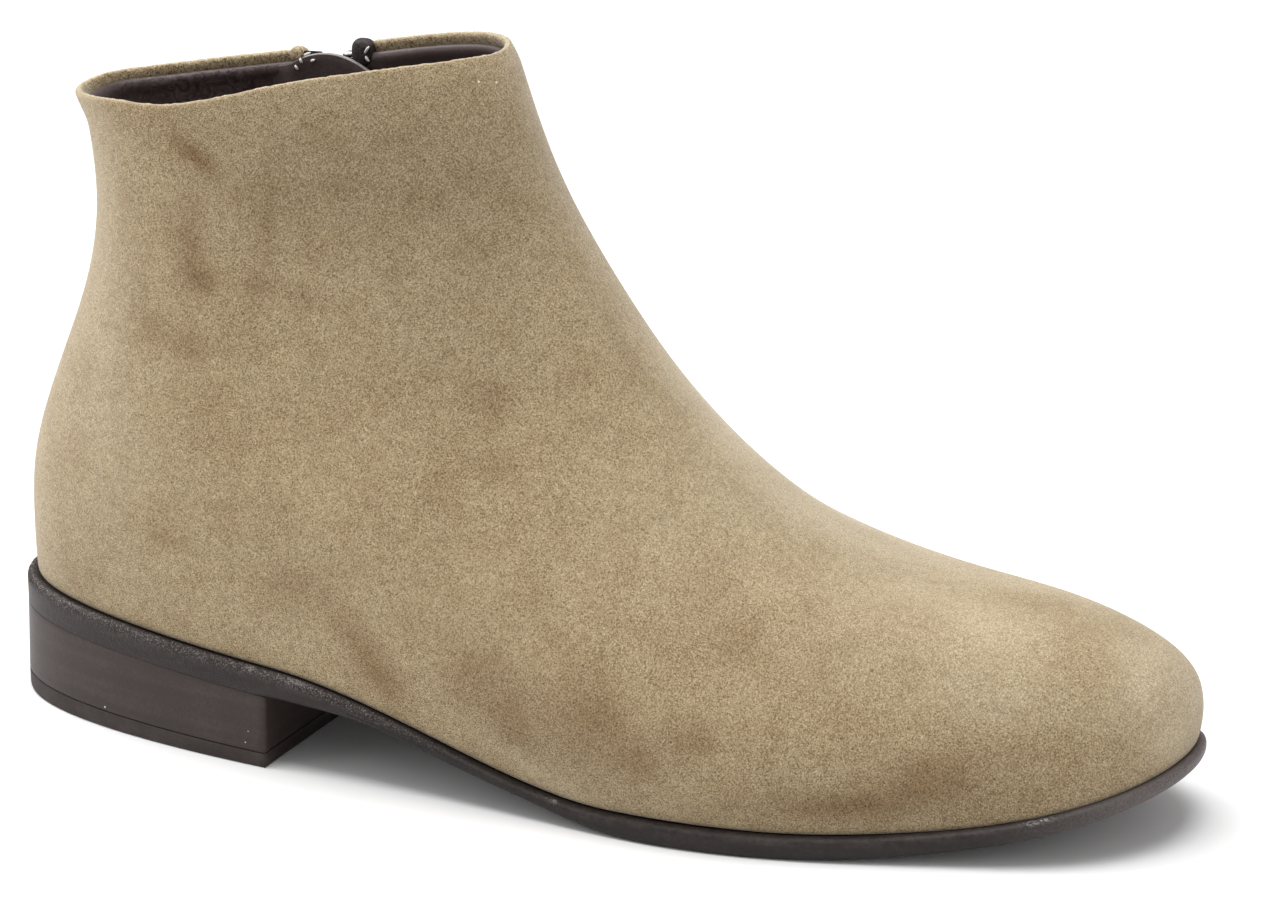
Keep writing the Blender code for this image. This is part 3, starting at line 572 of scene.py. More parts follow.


# %% [markdown]
# Suede is leather with its flesh side raised into a nap. Close up it is a mesh of short worm-like tufts
# a quarter of a millimetre wide, longer and shaggier where the edge is turned over the collar. From
# further off it shows soft clouds where the nap lies another way or the hide was darker. Noises give
# tufts, clumps and mottling, marks on the mesh carry the listed clouds, small spots stand for lint and
# a stain, and a little sheen lifts the edges as real fibres do. The marks also carry painted light: a
# painted highlight on the collar's rolled edge and on lighter clouds along the instep and toe, and
# painted shade, a grey darkening over the shaft and low on the foot.

# %% Suede finish
# small spots on the hide: place, radius
STAINS = [((199.6, -27.9, 37.1), 0.65)]
LINT = [((110.7, -10.7, 144.6), 0.32), ((113.1, -7.3, 143.9), 0.32)]
suede = FinishMaker("tan_suede_nap", roughness=0.95, specular=0.12)
tufts = suede.noise(0.25, detail=2, rough=0.6, warp=1.4)
clumps = suede.noise(1.8, detail=2, rough=0.6)
clouds = suede.noise(26.0, detail=3, rough=0.55)
shag = suede.noise(0.55, detail=3, rough=0.7, warp=1.5)
fine_nap = suede.sum_of((tufts, 4.2, 0.5), (clumps, 0.35, 0.5), (clouds, 0.25, 0.5))
long_nap = suede.sum_of((shag, 6.0, 0.49))
napped = suede.ramp(suede.mix(suede.mark("turned"), fine_nap, long_nap), [
    (0.05, (0.150, 0.104, 0.054)),
    (0.50, (0.352, 0.266, 0.150)),
    (0.95, (0.585, 0.475, 0.310)),
])
# the placed tone browns the nap below zero and pales it above zero, the pale part mostly as painted
# highlight
placed = suede.mark("nap_tone_and_highlight")
mottle = suede.ramp(suede.noise(9.0, detail=4, rough=0.6), [(0.45, grey(0)), (0.75, grey(0.45))])
mottled = suede.mix(mottle, napped, (0.70, 0.60, 0.50, 1), way="MULTIPLY")
browned = suede.mix(suede.share(placed, -1.0), mottled, (0.52, 0.40, 0.30, 1), way="MULTIPLY")
# painted shade: a grey darkening where less light falls, over the shaft and low on the foot
darkened = suede.mix(suede.mark("painted_shade"), browned, (0.58, 0.57, 0.58, 1), way="MULTIPLY")
pale_nap_and_highlight = suede.ramp(fine_nap, [
    (0.05, (0.450, 0.375, 0.260)),
    (0.50, (0.620, 0.530, 0.380)),
    (0.95, (0.790, 0.685, 0.500)),
])
suede_colour = suede.mix(suede.share(placed, 0.5), darkened, pale_nap_and_highlight)
suede_colour = suede.dotted(suede_colour, STAINS, (0.13, 0.09, 0.06, 1))
suede_colour = suede.dotted(suede_colour, LINT, (0.95, 0.93, 0.9, 1))
suede.colour(suede_colour)
suede.relief(suede.sum_of((tufts, 1.0, 0.5), (clumps, 0.6, 0.5)), depth_mm=0.25, strength=0.6)
suede.shader.inputs["Sheen Weight"].default_value = 0.6
suede.shader.inputs["Sheen Roughness"].default_value = 0.35
suede.shader.inputs["Sheen Tint"].default_value = (1.0, 0.94, 0.84, 1)
print("finish:", suede.material.name)

# %% [markdown]
# The upper is one hide, pulled over the last, with no seam on the outer side. Its surface is not quite
# even: the table holds the soft hollows at the ankle, quarter and vamp and the clouds of darker or
# lighter nap, each as a place, two half-sizes, a tilt and an amount. The lighter clouds are mostly
# painted highlights where light falls, and the wide shades are painted shade. A painted texture could
# hold them too, but a short table on the mesh needs no image and moves with the shape.

# %% Hollows, nap clouds, painted highlights and painted shade
Cloud = namedtuple("Cloud", "x z half_along half_across tilt_deg amount")
TOP_BLEND = 24.0
UPWARD_FROM, UPWARD_RUN = 0.1, 0.5
INNER_SHARE = 0.4
UNEVEN = 0.10
# negative hollows: the hide stands proud there
FULLNESS = [
    Cloud(232, 41, 18, 6, -15, -0.7),
    Cloud(133, 84, 22, 7, -58, -0.8),
    Cloud(158, 67, 26, 6, -45, -0.5),
    Cloud(131, 101, 14, 6, -62, -0.45),
]
OUTER_HOLLOWS = [
    Cloud(55, 128, 7, 3.0, -30, 0.35),
    Cloud(119, 84, 8, 5, 20, 0.35),
    Cloud(122, 70, 7, 4, 10, 0.30),
    Cloud(48, 91, 10, 6, 0, 0.30),
    Cloud(90, 34, 14, 6, -40, 0.30),
    Cloud(148, 28, 10, 7, 0, 0.25),
    Cloud(174, 42, 9, 7, 0, 0.25),
    *FULLNESS,
]
INNER_HOLLOWS = [
    Cloud(112, 84, 8, 5, 15, 0.35),
    Cloud(118, 70, 7, 4, 10, 0.30),
    Cloud(45, 92, 9, 6, 0, 0.30),
    Cloud(100, 36, 13, 6, -35, 0.30),
    Cloud(160, 30, 10, 7, 0, 0.25),
    *FULLNESS,
]
# negative clouds are darker, browner nap; positive ones are painted highlights where light falls
OUTER_CLOUDS = [
    Cloud(55, 128, 6, 2.4, -32, -0.85),
    Cloud(54, 111, 3.5, 8, 0, -0.5),
    Cloud(57, 103, 4, 3, 0, -0.55),
    Cloud(69, 103, 4, 3.2, 0, -0.5),
    Cloud(71, 115, 2.6, 9, 0, -0.35),
    Cloud(80, 101, 3.2, 2.5, 0, -0.35),
    Cloud(44, 91, 4, 4.5, 0, -0.45),
    Cloud(54, 89, 4.5, 4.2, 0, -0.55),
    Cloud(119, 84, 4.4, 3.6, 0, -0.4),
    Cloud(122, 71, 3.2, 2.8, 0, -0.35),
    Cloud(47, 47, 5.4, 2.4, -10, -0.4),
    Cloud(80, 42, 6.5, 5, 0, -0.35),
    Cloud(93.5, 32, 8.5, 5, -45, -0.5),
    Cloud(98.5, 24, 6.4, 4, -40, -0.6),
    Cloud(118, 28, 6.4, 7.6, 0, -0.4),
    Cloud(128, 23, 4.6, 7.6, 0, -0.5),
    Cloud(148, 26, 9, 6, -25, -0.55),
    Cloud(157, 18, 6.4, 4.2, 0, -0.4),
    Cloud(167, 24, 5.6, 4.4, 0, -0.45),
    Cloud(174, 42, 8, 6, 0, -0.4),
    Cloud(150, 53, 3, 2.6, 0, -0.3),
    Cloud(198, 12, 16, 3.4, 4, -0.7),
    Cloud(213, 19, 10, 4.6, 0, -0.5),
    Cloud(226, 24, 9, 5, 0, -0.25),
    Cloud(256.5, 24, 5, 6, 0, 0.8),
    Cloud(33, 69, 8, 26, 0, 0.35),
    Cloud(198, 41, 24, 9, -10, 0.3),
    Cloud(152, 61, 18, 9, -40, 0.25),
    Cloud(226, 33, 14, 7, -10, 0.3),
    Cloud(252, 33, 7, 5, 0, 0.35),
    Cloud(139, 22, 10, 7, 0, -0.25),
    Cloud(130, 12, 22, 2.2, -24, 0.35),
]
# on top of the foot a cloud's second number is y instead of z; the positive ones are painted highlights,
# strongest along the ridge of the instep and vamp where light falls from above
TOP_CLOUDS = [
    Cloud(223, 2, 8, 6, 0, -0.25),
    Cloud(238, -10, 6, 8, 0, -0.28),
    Cloud(244, 4, 5, 6, 0, -0.25),
    Cloud(204, -4, 16, 9, 0, 0.3),
    Cloud(222, -15, 14, 9, 0, 0.45),
    Cloud(146, -6, 16, 3, 0, -0.3),
    Cloud(163, -14, 14, 7, 0, 0.25),
    Cloud(248, -4, 9, 12, 0, 0.5),
    Cloud(154, 14, 14, 8, 15, 1.25),
    Cloud(157, 3, 13, 10, 0, 0.55),
    Cloud(176, 21, 14, 9, 25, 1.35),
    Cloud(200, 21, 16, 8, -10, 1.3),
    Cloud(228, 16, 14, 7, -12, 1.0),
    Cloud(177, 3, 11, 8, 25, 0.75),
    Cloud(194, 9, 12, 5.5, 8, 0.6),
    Cloud(215, 9, 12, 5, 0, 0.5),
]
# wide soft painted shade, by x and z: darker over the collar, shaft and ankle and low on the vamp and toe,
# where less light falls
PAINTED_SHADES = [
    Cloud(88, 128, 40, 20, 0, 0.50),
    Cloud(118, 122, 12, 18, 0, 0.20),
    Cloud(110, 92, 26, 12, 0, 0.16),
    Cloud(212, 11, 44, 8, 3, 0.44),
    Cloud(140, 16, 26, 9, -10, 0.36),
]


def cloud_sum(clouds, along, across):
    """Add up soft-edged clouds at points given in the clouds' own plane."""
    total = np.zeros_like(along)
    for cloud in clouds:
        tilt = math.radians(cloud.tilt_deg)
        right, up = along - cloud.x, across - cloud.z
        u = (right * math.cos(tilt) + up * math.sin(tilt)) / cloud.half_along
        v = (up * math.cos(tilt) - right * math.sin(tilt)) / cloud.half_across
        total += cloud.amount * np.exp(-(u * u + v * v))
    return total


def side_share(points):
    """1 on the outer side, 0 on the inner side, blending across the top of the foot."""
    return ease(0.5 - points[..., 1] / TOP_BLEND)


def nap_and_highlight_marks(points, out):
    """The listed clouds, nap tone and painted highlight, at points of the upper; the inner side gets the
    outer side's, eased.
    """
    outer = side_share(points)
    x, y, z = (points[..., i] for i in range(3))
    sides = cloud_sum(OUTER_CLOUDS, x, z)
    top = cloud_sum(TOP_CLOUDS, x, y) * ease((out[..., 2] - UPWARD_FROM) / UPWARD_RUN)
    return sides * (INNER_SHARE + (1 - INNER_SHARE) * outer) + top


def hollow_depth(points):
    """How far the hide lies in from the plain last, with the gentle unevenness of any hide."""
    outer = side_share(points)
    x, y, z = (points[..., i] for i in range(3))
    placed = outer * cloud_sum(OUTER_HOLLOWS, x, z) + (1 - outer) * cloud_sum(INNER_HOLLOWS, x, z)
    uneven = UNEVEN * np.sin(x / 9.0 + 0.8 * np.sin(z / 11.0)) * np.sin(z / 8.0 + y / 13.0 + 1.3)
    return placed + uneven


print("clouds placed by hand:", len(OUTER_CLOUDS) + len(TOP_CLOUDS))

# %% [markdown]
# The shell is a closed loop of hide: it starts tucked into the crease at the sole, climbs the outer
# face, rolls over the collar as the turned edge does on the real boot, shows a narrow band inside, and
# comes back down behind. At the zip the edges of the slit are rounded over. A Solidify modifier
# would give an even thickness, but not the roll and the tuck, which are what the eye looks for.

# %% Suede upper
HIDE = 1.3
ROLL_RADIUS = 0.85
TURNED_BAND = 2.6
# a painted highlight along the collar's rolled edge, uneven along its length
ROLL_HIGHLIGHT, ROLL_HIGHLIGHT_EVEN, ROLL_HIGHLIGHT_FRAY = 1.1, 0.8, 0.4
ROLL_TURNS_DEG = [20, 42, 66, 90, 114, 138, 160]
# millimetres below the collar of the last rows before the roll
NEAR_TOP = [4.6, 3.6, 2.7, 1.9, ROLL_RADIUS]
SLIT_ROUND = 0.9
CREASE_SINK, CREASE_LEVEL = 0.3, 0.01
CREASE_LEVELS = [0, 0.004, 0.009, 0.016, 0.026]
TUCK_DEPTHS = [0.4, 0.16, 0.05, 0.0, 0.0]
BODY_START_LEVEL, NECK_LEVEL, SLIT_TOP_LEVEL = 0.036, 0.945, 0.985
SLIT_FOOT_GAP = 0.008
HOLLOW_START_LEVEL = 0.06
FLARE, FLARE_HEIGHT = 1.5, 8.0
FLARE_TURN_DEG, FLARE_SPREAD_DEG = 18.0, 34.0
FRONT_ROUND, FRONT_ROUND_HEIGHT, FRONT_SPREAD_DEG = 1.1, 6.0, 45.0
EDGE_FRAY = 0.1
TOE_OVERHANG, OVERHANG_LEVEL = 0.6, 0.14
OVERHANG_START_X, OVERHANG_RUN = 195.0, 45.0
COLUMNS_ZIP_TO_TOE, COLUMNS_OUTER, COLUMNS_HEEL_TO_ZIP = 96, 150, 42
SLIT_STEPS = np.array([0, 0.1, 0.28, 0.5, 0.9, 1.6, 2.6, 4.0])
FAR_FROM_SLIT = 50.0


def shell_columns(level, gap=0.0):
    """Ring angles from the slit's front edge round the toe and heel to its back edge, and each one's
    distance from the slit."""
    half = float(slot_half_width(level)) + gap
    front = medial_around(zip_x(level) + half + SLIT_STEPS, level)
    back = medial_around(zip_x(level) - half - SLIT_STEPS[::-1], level)
    around = np.concatenate([
        front,
        np.linspace(front[-1], np.pi, COLUMNS_ZIP_TO_TOE + 1)[1:-1],
        np.linspace(np.pi, 0, COLUMNS_OUTER + 1),
        np.linspace(2 * np.pi, back[0], COLUMNS_HEEL_TO_ZIP + 1)[1:-1],
        back,
    ])
    middle = len(around) - 2 * len(SLIT_STEPS)
    distance = np.concatenate([SLIT_STEPS, np.full(middle, FAR_FROM_SLIT), SLIT_STEPS[::-1]])
    return around, distance


def shell_levels():
    """Levels up the shell, closer together at the crease and round the slit's foot."""
    foot = ZIP_FOOT_LEVEL + SLOT_ROUND * np.array([0, 0.02, 0.07, 0.16, 0.3, 0.5, 0.75, 1.0])
    below = np.linspace(BODY_START_LEVEL, ZIP_FOOT_LEVEL - SLIT_FOOT_GAP, 16)
    above = np.linspace(foot[-1] + SLIT_FOOT_GAP, NECK_LEVEL, 74)
    return np.concatenate([CREASE_LEVELS, below, foot, above])


def collar_flare(around, level, rise):
    """How far the turned edge leans out behind the outer ankle, and in at the front, near the collar."""
    turn = np.degrees(np.mod(around + np.pi, 2 * np.pi) - np.pi)
    below = (1 - level) * rise
    behind = np.exp(-((turn - FLARE_TURN_DEG) / FLARE_SPREAD_DEG) ** 2)
    flare = FLARE * behind * ease(1 - below / FLARE_HEIGHT)
    at_front = np.exp(-((180 - np.abs(turn)) / FRONT_SPREAD_DEG) ** 2)
    return flare - FRONT_ROUND * at_front * np.clip(1 - below / FRONT_ROUND_HEIGHT, 0, 1) ** 2


def shell_point(around, distance, level, depth, lift=0.0):
    """A point of the hide, with its hollows, its rounded slit and its tuck at the crease."""
    out, up, rise = upper_axes(around, level)
    base = upper_point(around, level)
    rounding = SLIT_ROUND * min(1, float(slot_half_width(np.max(level))))
    short = 1 - np.clip(distance / SLIT_ROUND, 0, 1)
    over_edge = rounding * (1 - np.sqrt(1 - short ** 2))
    fade = ease(np.asarray(level) / HOLLOW_START_LEVEL)
    lean = hollow_depth(base) * fade - collar_flare(around, level, rise)
    at_toe = ease((base[..., 0] - OVERHANG_START_X) / OVERHANG_RUN)
    lean = lean - TOE_OVERHANG * at_toe * ease(1 - np.asarray(level) / OVERHANG_LEVEL)
    at_face = np.clip(1 - np.asarray(depth) / HIDE, 0, 1)
    inward = depth + lean + over_edge * at_face
    return base - inward[..., None] * out + np.asarray(lift)[..., None] * up, out


def shell_rows(levels):
    """Rows of the hide's loop, up the face, over the roll and down behind: points, outward ways, the
    number of rows before the roll, and the fray of the roll's edge."""
    rows = []
    for level, depth in zip(levels, np.interp(levels, CREASE_LEVELS, TUCK_DEPTHS)):
        around, distance = shell_columns(level)
        sunk = -CREASE_SINK * (1 - level / CREASE_LEVEL) if level < CREASE_LEVEL else 0.0
        rows.append(shell_point(around, distance, np.full(len(around), level), depth, sunk))
    around, distance = shell_columns(SLIT_TOP_LEVEL)
    _, _, rise = upper_axes(around, np.ones(len(around)))
    for below in NEAR_TOP:
        rows.append(shell_point(around, distance, 1 - below / rise, 0.0))
    climb = len(rows)
    fray = np.random.default_rng(5).uniform(-1, 1, len(around))
    for roll in np.radians(ROLL_TURNS_DEG):
        rows.append(shell_point(around, distance, 1 - ROLL_RADIUS / rise, ROLL_RADIUS * (1 - np.cos(roll)),
                                (ROLL_RADIUS + EDGE_FRAY * fray) * np.sin(roll)))
    for below in reversed(NEAR_TOP):
        depth = 2 * ROLL_RADIUS if below < TURNED_BAND else HIDE
        rows.append(shell_point(around, distance, 1 - below / rise, depth))
    for level in levels[::-1]:
        around, distance = shell_columns(level)
        rows.append(shell_point(around, distance, np.full(len(around), level), HIDE))
    points, out = (np.stack(part) for part in zip(*rows))
    return points, out, climb, fray


def shell_faces(index, closed, climb):
    """The loop's skin, and the narrow faces that close the hide along both edges of the slit."""
    count = len(index)
    faces = [*grid_faces(index, wrap_rows=True)]
    for i in range(climb - 1):
        j = count - 1 - i
        if closed[i + 1]:
            continue
        for k in (0, -1):
            faces.append(corner_face(index[i, k], index[i + 1, k], index[j - 1, k], index[j, k]))
    for k in (0, -1):
        faces.append([int(number) for number in index[climb - 1:count - climb + 1, k]])
    return faces


def make_suede_upper():
    levels = shell_levels()
    points, out, climb, fray = shell_rows(levels)
    count, columns = points.shape[:2]
    index = point_numbers(count, columns)
    under_slit = levels <= ZIP_FOOT_LEVEL
    closed = np.concatenate([under_slit, np.full(count - 2 * len(levels), False), under_slit[::-1]])
    index[closed, -1] = index[closed, 0]
    faces = shell_faces(index, closed, climb)
    used = np.unique(np.concatenate([np.ravel(face) for face in faces]))
    renumber = np.zeros(count * columns, int)
    renumber[used] = np.arange(len(used))
    nap_tone_and_highlight = nap_and_highlight_marks(points, out)
    # painted highlight along the rolled edge of the collar
    nap_tone_and_highlight[climb + 2:climb + 5] += ROLL_HIGHLIGHT * (ROLL_HIGHLIGHT_EVEN + ROLL_HIGHLIGHT_FRAY * fray)
    turned = np.zeros((count, columns))
    turned[climb + 4:count - len(levels)] = 1
    # painted shade over the collar, shaft and ankle and low on the vamp and toe
    painted_shade = np.clip(cloud_sum(PAINTED_SHADES, points[..., 0], points[..., 2]), 0, 1)
    marks = {"nap_tone_and_highlight": nap_tone_and_highlight, "painted_shade": painted_shade, "turned": turned}
    make_piece("suede_upper", points.reshape(-1, 3)[used], [renumber[list(map(int, f))] for f in faces],
               [suede.material], stands_for=["upper"],
               tones={mark: values.reshape(-1)[used] for mark, values in marks.items()})


make_suede_upper()

# %% [markdown]
# Inside, a smooth dark leather lining is glued to the hide and ends a little below the collar, so a band
# of suede shows above it. Its top edge is folded, hence round. Behind the heel it wrinkles softly, and
# a mark on the mesh says where finer creases show as shine and as painted light and shade along them.

# %% Lining leather finish
lining_leather = FinishMaker("lining_leather", roughness=0.45, specular=0.38)
pores = lining_leather.noise(0.7, detail=3, rough=0.6)
rub = lining_leather.noise(14.0, detail=3, rough=0.55)
creases = lining_leather.noise(2.6, detail=3, rough=0.6, warp=2.0)
# painted light and shade along the finer creases, which also raise the relief
crinkled = lining_leather.mix(lining_leather.mark("creased"), (0.5, 0.5, 0.5, 1), creases)
lining_leather.colour(lining_leather.ramp(
    lining_leather.sum_of((pores, 0.5, 0.5), (rub, 0.8, 0.5), (crinkled, 2.2, 0.5)),
    [(0.2, (0.040, 0.026, 0.025)), (0.55, (0.080, 0.056, 0.053)), (0.9, (0.13, 0.095, 0.090))],
))
lining_relief = lining_leather.sum_of((pores, 1.0, 0.5), (rub, 0.8, 0.5), (crinkled, 5.0, 0.5))
lining_leather.relief(lining_relief, depth_mm=0.25, strength=0.35)
print("finish:", lining_leather.material.name)

# %% Leather lining
LINING_BACK, LINING_FACE = 1.4, 2.5
# the padded top edge: millimetres below the collar, and thickness in from the lining's back
LINING_ROLL = [
    (5.0, 0.0), (3.4, 0.0), (2.6, 0.2), (2.3, 0.6), (2.2, 1.0), (2.3, 1.4), (2.7, 1.75), (3.4, 1.95),
    (4.4, 1.8), (5.4, 1.4), (6.4, 1.15),
]
LINING_FOOT_LEVEL, LINING_ROLL_LEVEL, LINING_TOP_LEVEL = 0.032, 0.925, 0.98
LINING_ROWS = 46
LINING_GAP = 0.9
LINING_SOFT = (-1.5, 0.8)
WRINKLE_X, WRINKLE_SPREAD = 22.0, 16.0
WRINKLE_DEPTH, RIPPLE_DEPTH, WRINKLE_FROM = 0.35, 0.12, 0.4
CREASED_X, CREASED_SPREAD, CREASED_BLEND = 36.0, 15.0, 20.0


def lining_wrinkle(points):
    """Soft upright wrinkles in the lining behind the heel and along its top."""
    x, y, z = (points[..., i] for i in range(3))
    behind = np.exp(-((x - WRINKLE_X) / WRINKLE_SPREAD) ** 2)
    ripple = RIPPLE_DEPTH * np.sin(x / 6.0 + z / 5.0)
    return behind * WRINKLE_DEPTH * np.sin(y / 2.6 + z / 9.0) + ripple


def make_lining():
    levels = np.linspace(LINING_FOOT_LEVEL, LINING_ROLL_LEVEL, LINING_ROWS)
    rows = []

    def add(around, level, depth):
        base = upper_point(around, level)
        out, _, rise = upper_axes(around, level)
        soft = hollow_depth(base) + lining_wrinkle(base) * (depth > LINING_BACK + WRINKLE_FROM)
        soft = soft - collar_flare(around, level, rise)
        rows.append(base - (depth + np.clip(soft, *LINING_SOFT))[..., None] * out)

    for level in levels:
        around, _ = shell_columns(level, LINING_GAP)
        add(around, np.full(len(around), level), LINING_BACK)
    around, _ = shell_columns(LINING_TOP_LEVEL, LINING_GAP)
    _, _, rise = upper_axes(around, np.ones(len(around)))
    for below, thick in LINING_ROLL:
        add(around, 1 - below / rise, LINING_BACK + thick)
    for level in levels[::-1]:
        around, _ = shell_columns(level, LINING_GAP)
        add(around, np.full(len(around), level), LINING_FACE)
    points = np.stack(rows)
    count, columns = points.shape[:2]
    index = point_numbers(count, columns)
    faces = [*grid_faces(index, wrap_rows=True)]
    for k in (0, -1):
        for i in range(count // 2 - 1):
            j = count - 1 - i
            faces.append(corner_face(index[i, k], index[i + 1, k], index[j - 1, k], index[j, k]))
    flat = points.reshape(-1, 3)
    behind = np.exp(-((flat[:, 0] - CREASED_X) / CREASED_SPREAD) ** 2)
    creased = behind * ease(0.5 + flat[:, 1] / CREASED_BLEND)
    make_piece("leather_lining", flat, faces, [lining_leather.material],
               tones={"creased": creased})


make_lining()

# %% [markdown]
# The sole's edge is inked dark and burnished with a hot iron. Round the heel seat its top rim
# is pebbled all over with small dents that catch the light. They run out along the waist; at the ball
# and toe the edge is a plain rounded step. Bump alone would leave the rim smooth in outline, so the
# pebbles are modelled too.

# %% Sole edge finish
sole_edge = FinishMaker("inked_sole_edge", roughness=0.45, specular=0.25)
ink = sole_edge.noise(1.2, detail=4, rough=0.65)
drag = sole_edge.noise(4.0, detail=3, rough=0.6, stretch=(0.25, 0.25, 2.0))
scuffs = sole_edge.noise(1.6, detail=5, rough=0.75)
pebbles = sole_edge.noise(0.34, detail=1, rough=0.5)
# the rub mark lightens the worn top of the rim and darkens the waist and the lower corner as painted shade
edge_tone = sole_edge.sum_of((ink, 0.6, 0.5), (drag, 0.6, 0.5), (sole_edge.mark("rub"), 0.35, 0.0))
inked = sole_edge.ramp(edge_tone, [
    (0.1, (0.009, 0.007, 0.0065)), (0.5, (0.023, 0.0175, 0.016)), (0.95, (0.072, 0.058, 0.053)),
])
speck = sole_edge.ramp(scuffs, [(0.70, grey(0)), (0.76, grey(0.7))])
scuffed = sole_edge.mix(speck, inked, (0.30, 0.27, 0.25, 1))
# painted highlights on the pebbles' tops, standing for the glints they catch
pebble_tops = sole_edge.ramp(pebbles, [(0.54, grey(0)), (0.68, grey(1))])
lit_pebbles = sole_edge.mix(sole_edge.mark("pebbled"), (0, 0, 0, 1), pebble_tops)
# the toe's edge is paler: partly pale wear with fine specks, partly painted highlight where it faces the
# light
dabs = sole_edge.noise(0.5, detail=3, rough=0.7)
pale_speck = sole_edge.ramp(dabs, [(0.36, grey(0.5)), (0.64, grey(1))])
toe_wear_and_highlight_share = sole_edge.mix(sole_edge.mark("toe_wear_and_highlight"), (0, 0, 0, 1), pale_speck)
pale_toe = sole_edge.mix(toe_wear_and_highlight_share, scuffed, (0.18, 0.153, 0.148, 1))
ink_and_pebble_highlights = sole_edge.mix(lit_pebbles, pale_toe, (0.22, 0.195, 0.185, 1))
scrapes = sole_edge.noise(0.6, detail=3, rough=0.7)
streaks = sole_edge.ramp(scrapes, [(0.46, grey(0)), (0.60, grey(1))])
streaked = sole_edge.mix(sole_edge.mark("scuffed"), (0, 0, 0, 1), streaks)
sole_edge.colour(sole_edge.mix(streaked, ink_and_pebble_highlights, (0.48, 0.45, 0.43, 1)))
edge_relief = sole_edge.sum_of((ink, 0.6, 0.5), (drag, 0.5, 0.5), (pebbles, 0.9, 0.5))
sole_edge.relief(edge_relief, depth_mm=0.3, strength=0.5)
print("finish:", sole_edge.material.name)

# %% Outsole with a pebbled rim
EDGE_STEP, EDGE_SAMPLES = 0.34, 4001
FULL_EDGE = 3.4
SEAT_INSETS, SEAT_SINK = (7.0, 2.8), 0.1
BEVEL_START = 1.3
# painted shade on the waist's edge, which leans to face the floor
WAIST_X, WAIST_SPREAD, WAIST_PAINTED_SHADE = 118.0, 26.0, 0.45
# paler edge at the toe: pale wear and painted highlight
PALE_TOE_X, PALE_TOE = 222.0, 0.75
PEBBLE_END_X, PLAIN_START_X = 80.0, 130.0
PEBBLE_PITCH, PEBBLE_DEPTH, PLAIN_PEBBLES = 0.95, 0.14, 0.15
PEBBLE_OUT, PEBBLE_UP = 0.6, 0.8
# the rim is lighter where rubbed; the lower corner, turned under, is darkened as painted shade
RIM_RUB, CORNER_PAINTED_SHADE = 0.3, -0.2
# scuffs on the outer edge: x, half-length, amount
SCUFFS = ((67, 0.9, 0.8), (77.5, 2.0, 0.6), (137, 1.4, 0.4), (234.5, 2.4, 0.8))
# inset from the edge and drop below the seat, from the crease outwards and down
PEBBLED_RIM = np.array([
    (2.45, 0.16), (2.2, 0.05), (1.95, -0.03), (1.6, -0.1), (1.2, -0.08), (0.8, 0.12), (0.48, 0.42),
    (0.22, 0.85), (0.07, 1.35), (0.0, 1.9), (0.0, 2.3),
])
PLAIN_RIM = np.array([
    (2.45, -0.05), (2.1, -0.06), (1.8, -0.05), (1.5, -0.03), (1.2, 0.03), (0.85, 0.16), (0.5, 0.4),
    (0.22, 0.75), (0.06, 1.15), (0.0, 1.5), (0.0, 1.8),
])
FLUSH_CORNER, FLUSH_RUN = 0.12, 8.0
# inset from the edge and rise above the edge's lower corner
LOWER_CORNER = np.array([(0.0, 1.4), (0.1, 0.85), (0.32, 0.42), (0.7, 0.12)])


def even_angles(side, step):
    """Ring angles from heel to toe along one side, evenly spaced on the edge."""
    dense = np.linspace(0, np.pi, EDGE_SAMPLES)
    run = run_along(sole_plan_point(dense, side))
    count = int(run[-1] / step)
    return np.interp(np.linspace(0, run[-1], count + 1), run, dense)


